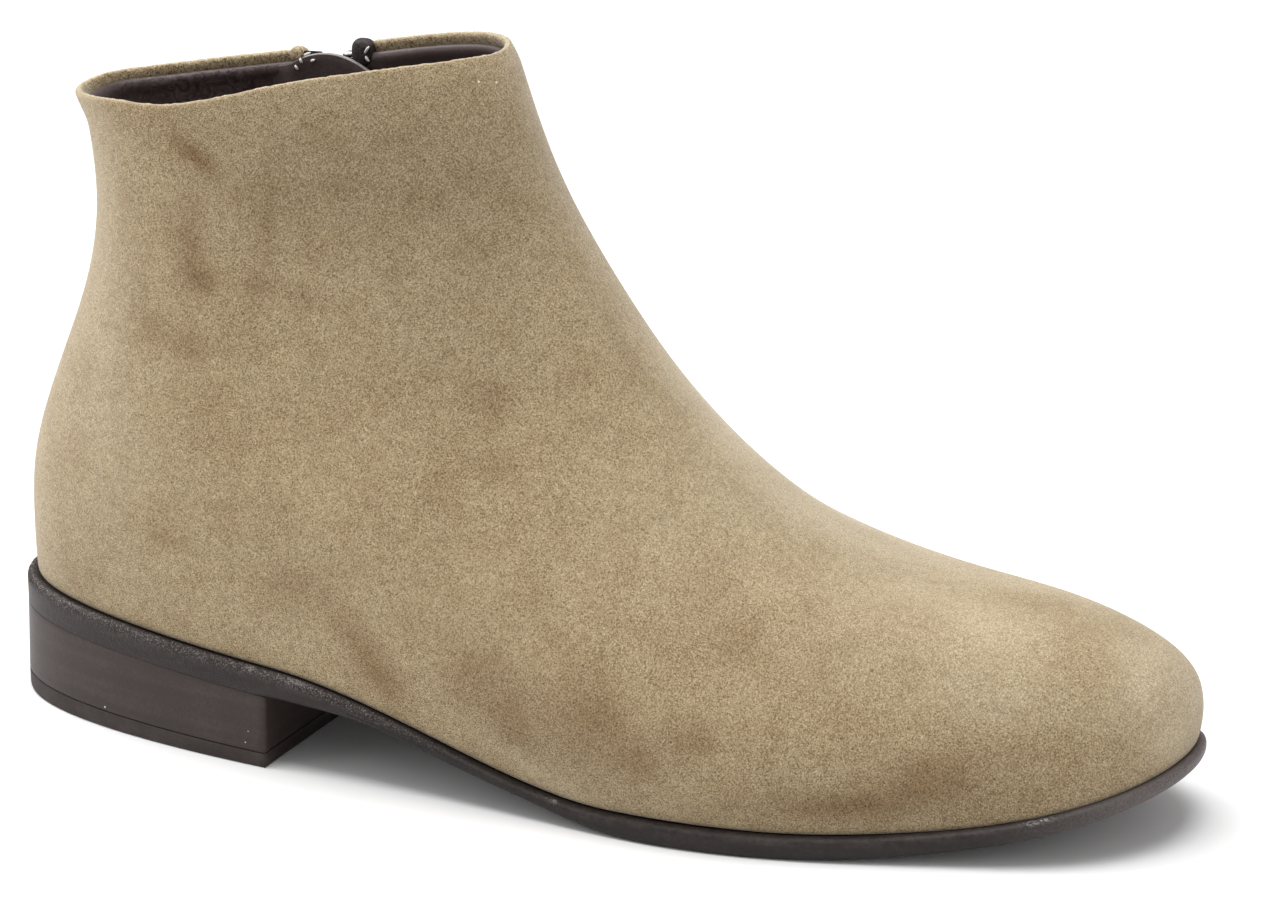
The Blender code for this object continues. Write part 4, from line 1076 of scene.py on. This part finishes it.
def make_sole():
    outer, inner = (even_angles(side, EDGE_STEP) for side in (-1, 1))
    count = len(inner)
    outer = np.interp(np.linspace(0, 1, count), np.linspace(0, 1, len(outer)), outer)
    around = np.concatenate([outer, inner[-2:0:-1]])
    side = np.concatenate([np.full(count, -1.0), np.full(count - 2, 1.0)])
    rim_x = sole_plan_point(around, side)[:, 0]
    run = np.arange(len(around)) * EDGE_STEP
    pebbled = 1 - ease((rim_x - PEBBLE_END_X) / (PLAIN_START_X - PEBBLE_END_X))
    waist = np.exp(-((rim_x - WAIST_X) / WAIST_SPREAD) ** 2)
    thickness = edge_thickness(rim_x)
    squeeze = np.minimum(1, thickness / FULL_EDGE)
    scuff = sum(amount * np.exp(-((rim_x - x) / half) ** 2) for x, half, amount in SCUFFS) * (side < 0)
    toe_wear_and_highlight = PALE_TOE * ease((rim_x - PALE_TOE_X) / (OUTSOLE_LENGTH - PALE_TOE_X))
    rows, marks = [], {"rub": [], "pebbled": [], "scuffed": [], "toe_wear_and_highlight": []}

    def add(inset, height, rub_and_shade, on_rim=0.0):
        plan = sole_plan_point(around, side, inset + np.zeros(len(around)))
        rows.append(np.column_stack([plan, height(plan[:, 0])]))
        marks["rub"].append(rub_and_shade - WAIST_PAINTED_SHADE * waist)
        marks["pebbled"].append(on_rim ** 2 * pebbled)
        marks["scuffed"].append(on_rim ** 8 * scuff)
        marks["toe_wear_and_highlight"].append(toe_wear_and_highlight)

    for inset in SEAT_INSETS:
        add(inset, lambda x: seat_height(x) - SEAT_SINK, 0)
    for k, (worked, plain) in enumerate(zip(PEBBLED_RIM, PLAIN_RIM)):
        inset, drop = (pebbled * worked[i] + (1 - pebbled) * plain[i] for i in range(2))
        on_rim = math.sin(math.pi * k / (len(PEBBLED_RIM) - 1))
        phase = 2 * np.pi * run / PEBBLE_PITCH + 2.3 * k + 1.4 * np.sin(run / 2.7) + np.sin(run / 0.61 + k)
        pebble = on_rim * (PLAIN_PEBBLES + (1 - PLAIN_PEBBLES) * pebbled) * PEBBLE_DEPTH * np.sin(phase)
        add(inset - PEBBLE_OUT * pebble, lambda x: seat_height(x) - squeeze * drop + PEBBLE_UP * pebble,
            RIM_RUB * on_rim, on_rim)
    corner = FLUSH_CORNER + (1 - FLUSH_CORNER) * ease((rim_x - BREAST_X + FLUSH_RUN / 2) / FLUSH_RUN)
    for inset, rise in LOWER_CORNER:
        add(inset * corner, lambda x: seat_height(x) - thickness + rise * squeeze * corner, CORNER_PAINTED_SHADE)

    def walking_face(x):
        return seat_height(x) - np.maximum(edge_thickness(x), SOLE_THICKNESS)

    share = BEVEL_START / WAIST_BEVEL_WIDTH
    add(BEVEL_START, lambda x: (1 - share) * (seat_height(x) - thickness) + share * walking_face(x),
        CORNER_PAINTED_SHADE)
    add(WAIST_BEVEL_WIDTH, walking_face, 0)
    points = np.stack(rows)
    total, columns = points.shape[:2]
    index = point_numbers(total, columns)
    faces = [*grid_faces(index, wrap_columns=True)]
    for row in (index[0], index[-1]):
        for k in range(count - 1):
            faces.append(corner_face(row[k], row[k + 1], row[-(k + 1) % columns], row[-k % columns]))
    make_piece("sole", points.reshape(-1, 3), faces, [sole_edge.material],
               stands_for=["outsole"],
               tones={mark: np.concatenate(values) for mark, values in marks.items()})


make_sole()

# %% [markdown]
# The heel is a stack of leather lifts, sanded as one, inked and polished, on a rubber top lift. Its
# joints show only as fine dark lines, so the block and the lift get small chamfers where they meet and
# the layers themselves are left to the finish, as faint level bands.

# %% Heel finishes
# pale specks on the outer side: place, radius
HEEL_SPECKS = [
    ((29.3, -27.4, 4.8), 0.3), ((25.6, -26.2, 14.3), 0.2), ((24.5, -25.8, 12.6), 0.16),
    ((66.6, -35.0, 7.6), 0.2), ((65.9, -34.9, 5.0), 0.2),
]
heel_stack = FinishMaker("polished_heel_stack", roughness=0.45, specular=0.28)
bands = heel_stack.noise(2.4, detail=3, rough=0.5, stretch=(0.03, 0.03, 1.0))
grain = heel_stack.noise(0.8, detail=4, rough=0.65)
cloudy = heel_stack.noise(12.0, detail=2, rough=0.5)
nicks = heel_stack.noise(1.1, detail=5, rough=0.8)
stack_tone = heel_stack.sum_of((bands, 0.35, 0.5), (grain, 0.45, 0.5), (cloudy, 0.25, 0.5))
stack_colour = heel_stack.ramp(stack_tone, [
    (0.1, (0.017, 0.0120, 0.0110)), (0.5, (0.037, 0.0245, 0.0212)), (0.95, (0.080, 0.057, 0.0495)),
])
nick_mask = heel_stack.ramp(nicks, [(0.705, grey(0)), (0.75, grey(0.6))])
stack_colour = heel_stack.mix(nick_mask, stack_colour, (0.26, 0.235, 0.22, 1))
heel_stack.colour(heel_stack.dotted(stack_colour, HEEL_SPECKS, (0.8, 0.77, 0.74, 1)))
heel_stack.relief(heel_stack.sum_of((bands, 0.5, 0.5), (grain, 1.0, 0.5)), depth_mm=0.15, strength=0.3)
top_lift_rubber = FinishMaker("top_lift_rubber", roughness=0.6, specular=0.25)
rubber_grain = top_lift_rubber.noise(0.7, detail=4, rough=0.7)
dust = top_lift_rubber.noise(6.0, detail=4, rough=0.6)
top_lift_rubber.colour(top_lift_rubber.ramp(
    top_lift_rubber.sum_of((rubber_grain, 0.5, 0.5), (dust, 0.7, 0.5)),
    [(0.1, (0.016, 0.0116, 0.0108)), (0.5, (0.038, 0.0282, 0.0258)), (0.95, (0.085, 0.066, 0.060))],
))
top_lift_rubber.relief(rubber_grain, depth_mm=0.15, strength=0.4)
print("finishes:", heel_stack.material.name, top_lift_rubber.material.name)

# %% Heel block and top lift
HEEL_COLUMNS, BREAST_COLUMNS, BREAST_SAMPLES = 150, 40, 2001
HEEL_BITE, JOINT_GAP, JOINT_CHAMFER = 0.02, 0.1, 0.2
LIFT_BACK, LIFT_FRONT = 4.2, 3.2
# share of the way down the block, and inset
BLOCK_PROFILE = [
    (0, 0.15), (0.008, 0.07), (0.02, 0.0), *((share, 0.0) for share in np.linspace(0.1, 0.9, 9)),
    (0.97, 0.0), (0.988, 0.08), (0.999, JOINT_CHAMFER), (1, 0.8),
]
# share of the lift's height, and inset
LIFT_PROFILE = [
    (1, 0.8), (0.996, JOINT_CHAMFER), (0.97, 0.06), (0.94, 0.0), (0.6, 0.0), (0.18, 0.0), (0.1, 0.05),
    (0.05, 0.15), (0.016, 0.32), (0, 0.6),
]


def breast_angles():
    """Ring angles where the skewed front face of the heel meets the sole's outer and inner edge."""
    angles = np.linspace(0, np.pi, BREAST_SAMPLES)
    start_y = sole_plan_point(angle_of_share(BREAST_X / OUTSOLE_LENGTH), -1)[1]
    ends = []
    for side in (-1, 1):
        plan = sole_plan_point(angles, side)
        breast = BREAST_X + np.tan(np.radians(BREAST_SKEW_DEG)) * (plan[:, 1] - start_y)
        ends.append(angles[np.argmax(plan[:, 0] > breast)])
    return ends


def heel_outline(inset):
    """The heel's closed plan: round the back from the outer to the inner side, then across the breast."""
    lateral_end, medial_end = breast_angles()
    signed = np.linspace(-lateral_end, medial_end, HEEL_COLUMNS + 1)
    side = np.where(signed < 0, -1.0, 1.0)
    plan = sole_plan_point(np.abs(signed), side, np.full(len(signed), inset))
    across = np.linspace(0, 1, BREAST_COLUMNS + 1)[1:-1, None]
    breast = plan[-1] + (plan[0] - plan[-1]) * across
    return np.vstack([plan, breast])


def shrink(outline, inset):
    """Move a closed outline in by a small distance."""
    after, before = np.roll(outline, -1, 0) - outline, outline - np.roll(outline, 1, 0)
    along = unit(unit(after) + unit(before))
    return outline + inset * np.column_stack([along[:, 1], -along[:, 0]])


def stacked_piece(name, rings, finish, stands_for):
    """A closed piece from a stack of rings with flat ends."""
    points = np.stack(rings)
    count, columns = points.shape[:2]
    index = point_numbers(count, columns)
    faces = [*grid_faces(index, wrap_columns=True), index[0], index[-1]]
    make_piece(name, points.reshape(-1, 3), faces, [finish.material], stands_for=stands_for)


def under_sole(x):
    return seat_height(x) - edge_thickness(x) + HEEL_BITE


def lift_height(x):
    """The top lift is a slight wedge, thinner towards the breast."""
    return LIFT_BACK + (LIFT_FRONT - LIFT_BACK) * np.clip(x / BREAST_X, 0, 1)


block_rings = []
for share, inset in BLOCK_PROFILE:
    plan = shrink(heel_outline(HEEL_TAPER * share), inset)
    top, foot = under_sole(plan[:, 0]), lift_height(plan[:, 0]) + JOINT_GAP
    block_rings.append(np.column_stack([plan, top + (foot - top) * share]))
stacked_piece("heel_stack", block_rings, heel_stack, ["heel_block"])

lift_rings = []
for share, inset in LIFT_PROFILE:
    plan = shrink(heel_outline(HEEL_TAPER), inset)
    lift_rings.append(np.column_stack([plan, lift_height(plan[:, 0]) * share]))
stacked_piece("top_lift", lift_rings, top_lift_rubber, ["heel_top_lift"])

# %% [markdown]
# The insole board keeps its plain solid and is only given a leather face. Deep inside the shaft it
# is seen from above, a little lighter than the lining where feet polish it.

# %% Insole
sock_leather = FinishMaker("sock_leather", roughness=0.45, specular=0.4)
sock_grain = sock_leather.noise(0.9, detail=3, rough=0.6)
sock_wear = sock_leather.noise(30.0, detail=3, rough=0.5)
sock_leather.colour(sock_leather.ramp(
    sock_leather.sum_of((sock_grain, 0.5, 0.5), (sock_wear, 0.8, 0.5)),
    [(0.2, (0.040, 0.026, 0.022)), (0.55, (0.080, 0.056, 0.048)), (0.9, (0.13, 0.095, 0.082))],
))
sock_leather.relief(sock_grain, depth_mm=0.2, strength=0.35)
SOLID_EDGE_DEG = 40.0


def dress_solid(node, finish, bevel_mm):
    """Give a plain solid a better finish and softly rounded edges."""
    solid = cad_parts[node]
    solid.data.materials.clear()
    solid.data.materials.append(finish.material)
    soften_edges(solid, bevel_mm, SOLID_EDGE_DEG)
    print("dressed:", node)


dress_solid("insole", sock_leather, bevel_mm=0.6)

# %% [markdown]
# The zip is a metal one: two black woven tapes, teeth clamped on their edges, a slider near the top and
# a pull tab. Each tooth is a small block with a round head; the two rows are offset by half a pitch
# so that they mesh, and part above the slider. An Array modifier could repeat a tooth, but not lean
# each one to the curve of the wall, so the block's corners are laid straight onto the wall instead.

# %% Zip finishes
nickel = grained_finish("nickel_zip_metal", 0.9, (0.42, 0.41, 0.39), (0.66, 0.65, 0.63), 0.05, 0.25,
                        roughness=0.28, metallic=1.0)
tape_weave = FinishMaker("woven_zip_tape", roughness=0.9, specular=0.2)
yarn = tape_weave.noise(0.45, detail=2, rough=0.5, stretch=(1.0, 1.0, 0.35))
lint = tape_weave.noise(3.0, detail=3, rough=0.6)
tape_weave.colour(tape_weave.ramp(tape_weave.sum_of((yarn, 0.9, 0.5), (lint, 0.4, 0.5)), [
    (0.2, (0.008, 0.0075, 0.0075)), (0.55, (0.021, 0.019, 0.018)), (0.9, (0.05, 0.046, 0.044)),
]))
tape_weave.relief(yarn, depth_mm=0.25, strength=0.6)
print("finishes:", nickel.material.name, tape_weave.material.name)

# %% Zip tapes
TAPE_WIDTH, TAPE_THICKNESS = 9.0, 0.8
TAPE_TOP_LEVELS = {"back": 0.992, "front": 0.981}
TAPE_FOLD, TAPE_FOLD_START, TAPE_FOLD_RUN = 0.06, 0.2, 0.6
TAPE_DEPTHS = (WALL + CLEARANCE, WALL + CLEARANCE + TAPE_THICKNESS)
TAPE_GRID = (12, 60)
TEETH_ROW_WIDTH = 2.2
RIBBON_EDGE, RIBBON_EDGE_DEG = 0.2, 50.0


def parted(level):
    """Half the gap between the two tapes' inner edges."""
    return CLEARANCE / 2 + (SLOT_HALF_WIDTH_TOP - TEETH_ROW_WIDTH) * zip_spread(level)


def wall_ribbon(name, edges, foot, top, depths, grid, finishes, stands_for=(), raw_from=2.0,
                inset=np.zeros_like):
    """A closed strip on the inner wall between two edges, at two depths and an inset that may change
    across it. Its top border takes the last finish from the share raw_from of its width onwards."""
    columns, rows = grid
    across = np.linspace(0, 1, columns + 1)
    level = foot + (top(across)[None, :] - foot) * np.linspace(0, 1, rows + 1)[:, None]
    near, far = edges(level)
    offset = near + (far - near) * across[None, :]
    layers = [zip_place(offset, level, depth + inset(across)).reshape(-1, 3) for depth in depths]
    count = len(layers[0])
    index = point_numbers(rows + 1, columns + 1)
    quads = grid_faces(index)
    border = [*index[0], *index[1:, -1], *index[-1, -2::-1], *index[-2:0:-1, 0]]
    sides = [[a, b, count + b, count + a] for a, b in zip(border, border[1:] + border[:1])]
    faces = [*quads, *(quads[:, ::-1] + count), *sides]
    raw = set(index[-1, across >= raw_from])
    last_finish = len(finishes) - 1
    face_finish = [0] * (2 * len(quads)) + [last_finish if {a, b} <= raw else 0 for a, b, _, _ in sides]
    piece = make_piece(name, np.vstack(layers), faces, finishes, stands_for, face_finish=face_finish)
    soften_edges(piece, RIBBON_EDGE, RIBBON_EDGE_DEG)


def tape_top(highest):
    """The tape's end is folded off: highest beside the teeth, lower where the flap covers it."""
    return lambda across: highest - TAPE_FOLD * ease((across - TAPE_FOLD_START) / TAPE_FOLD_RUN)


for hand, side in (("back", -1), ("front", 1)):

    def tape_edges(level, side=side):
        return side * parted(level), side * (parted(level) + TAPE_WIDTH)

    wall_ribbon("woven_tape_" + hand, tape_edges, ZIP_FOOT_LEVEL, tape_top(TAPE_TOP_LEVELS[hand]),
                TAPE_DEPTHS, TAPE_GRID, [tape_weave.material], ["zip_tape_" + hand])

# %% Zip teeth
TOOTH_PITCH = 2.0
TEETH_DEPTH = 0.5
TEETH_FOOT_LEVEL, TEETH_TOP_LEVEL = ZIP_FOOT_LEVEL + 0.026, 0.985
TEETH_SAMPLES = 400
SLIDER_CLEAR = 4.6
HEAD_REACH = 0.35
# a tooth's outline: across from the tape's edge (negative is its head), and along the zip
TOOTH_OUTLINE = np.array([
    (-0.35, -0.25), (-0.1, -0.55), (0.6, -0.62), (1.1, -0.45), (2.0, -0.45), (2.2, -0.3),
    (2.2, 0.3), (2.0, 0.45), (1.1, 0.45), (0.6, 0.62), (-0.1, 0.55), (-0.35, 0.25),
])
# depth behind the suede's face, and size of the outline there
TOOTH_LAYERS = (
    (TEETH_DEPTH, 0.72), (TEETH_DEPTH + 0.18, 0.94), (TEETH_DEPTH + 0.4, 1.0), (WALL + 0.15, 1.0),
)


def make_teeth():
    middle = TOOTH_OUTLINE.mean(0)
    index = point_numbers(len(TOOTH_LAYERS), len(TOOTH_OUTLINE))
    pattern = [*grid_faces(index, wrap_columns=True), index[0], index[-1]]
    heights = np.linspace(TEETH_FOOT_LEVEL, TEETH_TOP_LEVEL, TEETH_SAMPLES)
    run = run_along(zip_place(np.zeros(TEETH_SAMPLES), heights, 0.0))
    level_per_mm = (heights[-1] - heights[0]) / run[-1]
    slider_run = np.interp(SLIDER_LEVEL, heights, run)
    points, faces = [], []
    for side in (-1, 1):
        start = TOOTH_PITCH / 2 if side < 0 else 0.0
        for at in np.arange(start, run[-1], TOOTH_PITCH):
            if abs(at - slider_run) < SLIDER_CLEAR:
                continue
            level = np.interp(at, run, heights)
            reach = HEAD_REACH if zip_spread(level) == 0 else 0.0
            faces += [np.asarray(face) + len(points) for face in pattern]
            for depth, size in TOOTH_LAYERS:
                shape = middle + (TOOTH_OUTLINE - middle) * size
                across = side * (parted(level) + shape[:, 0] - reach)
                points.extend(zip_place(across, level + shape[:, 1] * level_per_mm, depth))
    make_piece("zip_teeth", np.array(points), faces, [nickel.material],
               stands_for=["zip_chain", "zip_teeth_front", "zip_teeth_back"])


make_teeth()
dress_solid("zip_slider", nickel, bevel_mm=0.3)
dress_solid("zip_pull", nickel, bevel_mm=0.25)

# %% [markdown]
# Behind the zip a leather flap keeps the teeth off the ankle. Its back edge is pressed back flush
# with the lining; its cut top edge was left raw and shows as a thin pale line above the tape. The
# back tape's end is turned over as a short tab. At the front the tape's end is wrapped in soft dark
# leather, a small round knob at the collar, and at the back a fold of suede covers the corner.

# %% Zip guard
raw_edge = grained_finish("raw_leather_edge", 0.5, (0.16, 0.145, 0.135), (0.40, 0.375, 0.355), 0.15, 0.4,
                          roughness=0.8, specular=0.2)
GUARD_HALF_WIDTH, GUARD_THICKNESS = 14.0, 1.2
# across from the zip's middle line, and drop of the flap's top edge below the collar
GUARD_TOP = np.array([
    (-14, 2.8), (-9.5, 2.3), (-6, 1.1), (-2.1, 0.6), (0.9, 0.9), (4.3, 2.0), (7.9, 4.0), (14, 9.0),
])
GUARD_GRID = (40, 50)
GUARD_RAW_FROM = 0.3
GUARD_PRESS, GUARD_PRESS_SHARE = 2.3, 0.24
COLLAR_MM_PER_LEVEL = 129.0
GUARD_DEPTHS = (TAPE_DEPTHS[1] + CLEARANCE, TAPE_DEPTHS[1] + CLEARANCE + GUARD_THICKNESS)


def guard_top(across):
    place = (2 * across - 1) * GUARD_HALF_WIDTH
    return 1 - natural_spline(GUARD_TOP[:, 0], GUARD_TOP[:, 1])(place)[..., 0] / COLLAR_MM_PER_LEVEL


def guard_inset(across):
    """The flap's back edge is pressed back until it lies flush with the lining."""
    return -GUARD_PRESS * (1 - ease(across / GUARD_PRESS_SHARE))


wall_ribbon("zip_guard_flap", lambda level: (-GUARD_HALF_WIDTH, GUARD_HALF_WIDTH), ZIP_FOOT_LEVEL,
            guard_top, GUARD_DEPTHS, GUARD_GRID, [lining_leather.material, raw_edge.material],
            ["zip_guard"], raw_from=GUARD_RAW_FROM, inset=guard_inset)

# %% Turned end of the back tape
TAB_EDGES, TAB_FOOT_LEVEL, TAB_GRID = (-5.9, -1.0), 0.978, (16, 4)
TAB_SLOPE, TAB_DROP, TAB_ROUND_FROM, TAB_ROUND_RUN = 0.75, 1.4, 0.8, 0.2
TAB_INSET = 0.05
TAB_DEPTHS = (TAPE_DEPTHS[0] + TAB_INSET, TAPE_DEPTHS[1] - TAB_INSET)


def tab_top(across):
    """The end is turned over the teeth: level with the collar, then dropping to a round end."""
    drop = TAB_SLOPE * across + TAB_DROP * ease((across - TAB_ROUND_FROM) / TAB_ROUND_RUN)
    return 1 - drop / COLLAR_MM_PER_LEVEL


wall_ribbon("tape_end_tab", lambda level: TAB_EDGES, TAB_FOOT_LEVEL, tab_top, TAB_DEPTHS, TAB_GRID,
            [tape_weave.material])

# %% Wrapped end and suede fold
wrap_leather = FinishMaker("wrapped_end_leather", roughness=0.5, specular=0.3)
folds = wrap_leather.noise(1.1, detail=3, rough=0.65, warp=1.0)
wrap_colour = wrap_leather.ramp(folds, [(0.3, (0.010, 0.0068, 0.0064)), (0.75, (0.050, 0.036, 0.034))])
wrap_leather.colour(wrap_colour)
wrap_leather.relief(folds, depth_mm=0.5, strength=0.7)
KNOB_TURNS, KNOB_RINGS, KNOB_SOFTNESS, KNOB_LEVEL = 32, 17, 0.75, 0.985


def make_knob(name, middle, half, finish, tones=None):
    """A soft rounded lump: across the zip, below the collar, and depth, as middle and half-sizes."""
    turn, tip = np.meshgrid(np.linspace(0, 2 * np.pi, KNOB_TURNS + 1)[:-1],
                            np.linspace(-np.pi / 2, np.pi / 2, KNOB_RINGS + 2)[1:-1])

    def soft(value):
        return np.sign(value) * np.abs(value) ** KNOB_SOFTNESS

    shape = [soft(np.cos(tip)) * soft(np.cos(turn)), soft(np.sin(tip)),
             soft(np.cos(tip)) * soft(np.sin(turn))]
    across, up, deep = (size * way for size, way in zip(half, shape))
    rows = zip_place(middle[0] + across, np.full_like(across, KNOB_LEVEL), middle[2] + deep)
    collar = zip_place(np.array(middle[0]), np.array(1.0), 0.0)[2]
    rows[..., 2] = collar - middle[1] + up
    count, columns = across.shape
    index = point_numbers(count, columns)
    faces = [*grid_faces(index, wrap_columns=True), index[0], index[-1]]
    marks = {mark: np.full(count * columns, value) for mark, value in (tones or {}).items()}
    make_piece(name, rows.reshape(-1, 3), faces, [finish.material], tones=marks)


make_knob("zip_end_wrap", (7.75, 2.1, 2.3), (2.65, 2.9, 2.0), wrap_leather)
# the suede fold gets a slightly pale nap and a little painted shade
make_knob("suede_end_fold", (-7.8, 1.0, 1.8), (1.8, 1.6, 1.8), suede,
          tones={"nap_tone_and_highlight": 0.2, "painted_shade": 0.2, "turned": 1.0})

# %% [markdown]
# One row of stitching holds the zip to the hide: it runs down beside the slit, round its foot and up
# again. Each stitch is a short tube laid on the wall and sunk at both ends, so the light catches it.

# %% Stitching beside the zip
thread = grained_finish("tan_thread", 0.35, (0.19, 0.14, 0.085), (0.34, 0.26, 0.165), 0.1, 0.5,
                        detail=2, rough=0.5, roughness=0.75, specular=0.25)
STITCH_PITCH, STITCH_HALF, THREAD_RADIUS = 3.0, 1.1, 0.3
STITCH_MARGIN = 2.4
STITCH_POINTS, THREAD_SIDES, THREAD_TAPER = 7, 8, 0.75
STITCH_PROUD, STITCH_SINK = 0.2, 0.4
SEAM_TOP_LEVEL = 0.985
FOOT_MM_PER_LEVEL = 104.0


def stitch_tubes(name, stitches, finish):
    """Short tubes from centre lines and outward directions, thinner at their ends."""
    along = np.linspace(-1, 1, STITCH_POINTS)
    around = np.linspace(0, 2 * np.pi, THREAD_SIDES + 1)[:-1]
    index = point_numbers(STITCH_POINTS, THREAD_SIDES)
    pattern = [*grid_faces(index, wrap_columns=True), index[0], index[-1]]
    width = THREAD_RADIUS * np.sqrt(1 - THREAD_TAPER * along ** 4)
    points, faces = [], []
    for centre, out in stitches:
        faces += [np.asarray(face) + len(points) for face in pattern]
        beside = np.cross(unit(np.gradient(centre, axis=0)), out)
        ring = np.cos(around)[None, :, None] * beside[:, None] + np.sin(around)[None, :, None] * out[:, None]
        points.extend((centre[:, None] + width[:, None, None] * ring).reshape(-1, 3))
    make_piece(name, np.array(points), faces, [finish.material])


def zip_stitch(across, level, depth):
    """A stitch's centre line beside the zip, and the outward direction along it."""
    return zip_place(across, level, depth), upper_axes(medial_around(zip_x(level) + across, level), level)[0]


def zip_seam():
    """The stitches down one side of the slit, round its foot and up the other side."""
    levels = np.linspace(SEAM_TOP_LEVEL, ZIP_FOOT_LEVEL + SLOT_ROUND, 200)
    straight = slot_half_width(levels) + STITCH_MARGIN
    turn = np.linspace(0, np.pi, 60)[1:-1]
    foot = np.column_stack([straight[-1] * np.cos(turn),
                            ZIP_FOOT_LEVEL + SLOT_ROUND - straight[-1] * np.sin(turn) / FOOT_MM_PER_LEVEL])
    path = np.vstack([np.column_stack([straight, levels]), foot, np.column_stack([-straight, levels])[::-1]])
    run = run_along(zip_place(path[:, 0], path[:, 1], 0.0))
    along = np.linspace(-1, 1, STITCH_POINTS)
    for at in np.arange(STITCH_PITCH / 2, run[-1] - STITCH_HALF, STITCH_PITCH):
        across, level = (np.interp(at + STITCH_HALF * along, run, path[:, i]) for i in range(2))
        yield zip_stitch(across, level, STITCH_SINK * along ** 4 - STITCH_PROUD)


stitch_tubes("zip_stitching", zip_seam(), thread)

# %% [markdown]
# Inside the collar the ends of the zip are tacked down by hand with a few pale stitches. They are tiny,
# but they are the brightest things inside the boot, so each one is placed.

# %% Tacks at the zip's ends
pale_thread = grained_finish("pale_thread", 0.35, (0.55, 0.53, 0.50), (0.82, 0.80, 0.77), 0.1, 0.4,
                             detail=2, rough=0.5, roughness=0.6, specular=0.3)
TACK_ARCH, TACK_SINK = 0.15, 0.3
Tack = namedtuple("Tack", "across below length tilt_deg depth")
TACKS = [
    Tack(-6.0, 1.6, 1.3, 110, 5.1),
    Tack(-7.2, 3.0, 1.4, 120, 5.0),
    Tack(-3.2, 1.75, 1.1, 15, 5.2),
    Tack(-5.1, 0.65, 1.7, 15, 3.6),
    Tack(9.45, 1.1, 1.8, 50, 4.1),
    Tack(9.4, 2.85, 1.6, -60, 4.1),
]


def tack_lines():
    along = np.linspace(-1, 1, STITCH_POINTS)
    for tack in TACKS:
        tilt = math.radians(tack.tilt_deg)
        across = tack.across + along * tack.length / 2 * math.cos(tilt)
        level = 1 - (tack.below - along * tack.length / 2 * math.sin(tilt)) / COLLAR_MM_PER_LEVEL
        yield zip_stitch(across, level, tack.depth + TACK_ARCH - TACK_SINK * along ** 4)


stitch_tubes("zip_tacks", tack_lines(), pale_thread)

# %% [markdown]
# The stage is a wide pale floor under soft studio light: a large panel straight overhead, a second one
# high on the left, two weak ones low at the left front and the right, and an even white surround that
# fills the shadows. The floor is bright enough to read as white, so only the soft shadow under the arch
# and beside the sole is left of it.

# %% Floor and light
scene = bpy.context.scene
FLOOR_HALF = 6.0
SURROUND = 0.52
# place and width in metres, power in watts
PANELS = {
    "overhead_panel": ((0.0, 0.0, 1.3), 0.9, 15.0),
    "left_panel": ((-0.85, 0.1, 0.95), 0.7, 8.0),
    "left_front_panel": ((-1.0, -0.6, 0.5), 0.8, 2.5),
    "right_panel": ((1.2, -0.3, 0.45), 0.8, 1.2),
}
PANEL_AIM = Vector((0.0, 0.0, 0.06))
floor_mesh = bpy.data.meshes.new("studio_floor")
floor_mesh.from_pydata([(-FLOOR_HALF, -FLOOR_HALF, 0), (FLOOR_HALF, -FLOOR_HALF, 0),
                        (FLOOR_HALF, FLOOR_HALF, 0), (-FLOOR_HALF, FLOOR_HALF, 0)], [], [(0, 1, 2, 3)])
studio_floor = bpy.data.objects.new("studio_floor", floor_mesh)
scene.collection.objects.link(studio_floor)
floor_paper = FinishMaker("white_paper", roughness=0.9, specular=0.1)
paper = floor_paper.noise(40.0, detail=2)
floor_paper.colour(floor_paper.ramp(paper, [(0.3, grey(0.86)), (0.7, grey(0.88))]))
floor_mesh.materials.append(floor_paper.material)

world = bpy.data.worlds.new("white_surround")
world.use_nodes = True
world.node_tree.nodes["Background"].inputs["Color"].default_value = (1, 1, 1, 1)
world.node_tree.nodes["Background"].inputs["Strength"].default_value = SURROUND
scene.world = world

for name, (place, size, power) in PANELS.items():
    light = bpy.data.lights.new(name, "AREA")
    light.size = size
    light.energy = power
    panel = bpy.data.objects.new(name, light)
    panel.location = place
    panel.rotation_mode = "QUATERNION"
    panel.rotation_quaternion = (PANEL_AIM - Vector(place)).to_track_quat("-Z", "Y")
    scene.collection.objects.link(panel)
scene.view_settings.view_transform = "Standard"
print("lights:", [thing.name for thing in scene.objects if thing.type == "LIGHT"])

# %% [markdown]
# The camera stands a step away, a little in front of the outer side and above it, with a long lens, so
# that the boot keeps its proportions.

# %% Camera
CAMERA_AZIMUTH_DEG, CAMERA_ELEVATION_DEG = 20.0, 19.0
CAMERA_DISTANCE, CAMERA_LENS, SENSOR_WIDTH = 800.0, 110.7, 36.0
CAMERA_AIM = np.array([140.25, -1.72, 67.4])
azimuth, elevation = math.radians(CAMERA_AZIMUTH_DEG), math.radians(CAMERA_ELEVATION_DEG)
back_way = np.array([math.sin(azimuth) * math.cos(elevation), -math.cos(azimuth) * math.cos(elevation),
                     math.sin(elevation)])
camera_data = bpy.data.cameras.new("camera")
camera_data.lens = CAMERA_LENS
camera_data.sensor_width = SENSOR_WIDTH
camera_data.sensor_fit = "HORIZONTAL"
camera = bpy.data.objects.new("camera", camera_data)
camera.location = (CAMERA_AIM + SHIFT + back_way * CAMERA_DISTANCE) * MM
camera.rotation_mode = "QUATERNION"
camera.rotation_quaternion = Vector(-back_way).to_track_quat("-Z", "Y")
scene.collection.objects.link(camera)
scene.camera = camera
print("camera at, in metres:", list(camera.location))

# %% [markdown]
# Last, the scene is brought up to date.

# %% Update the scene
bpy.context.view_layer.update()
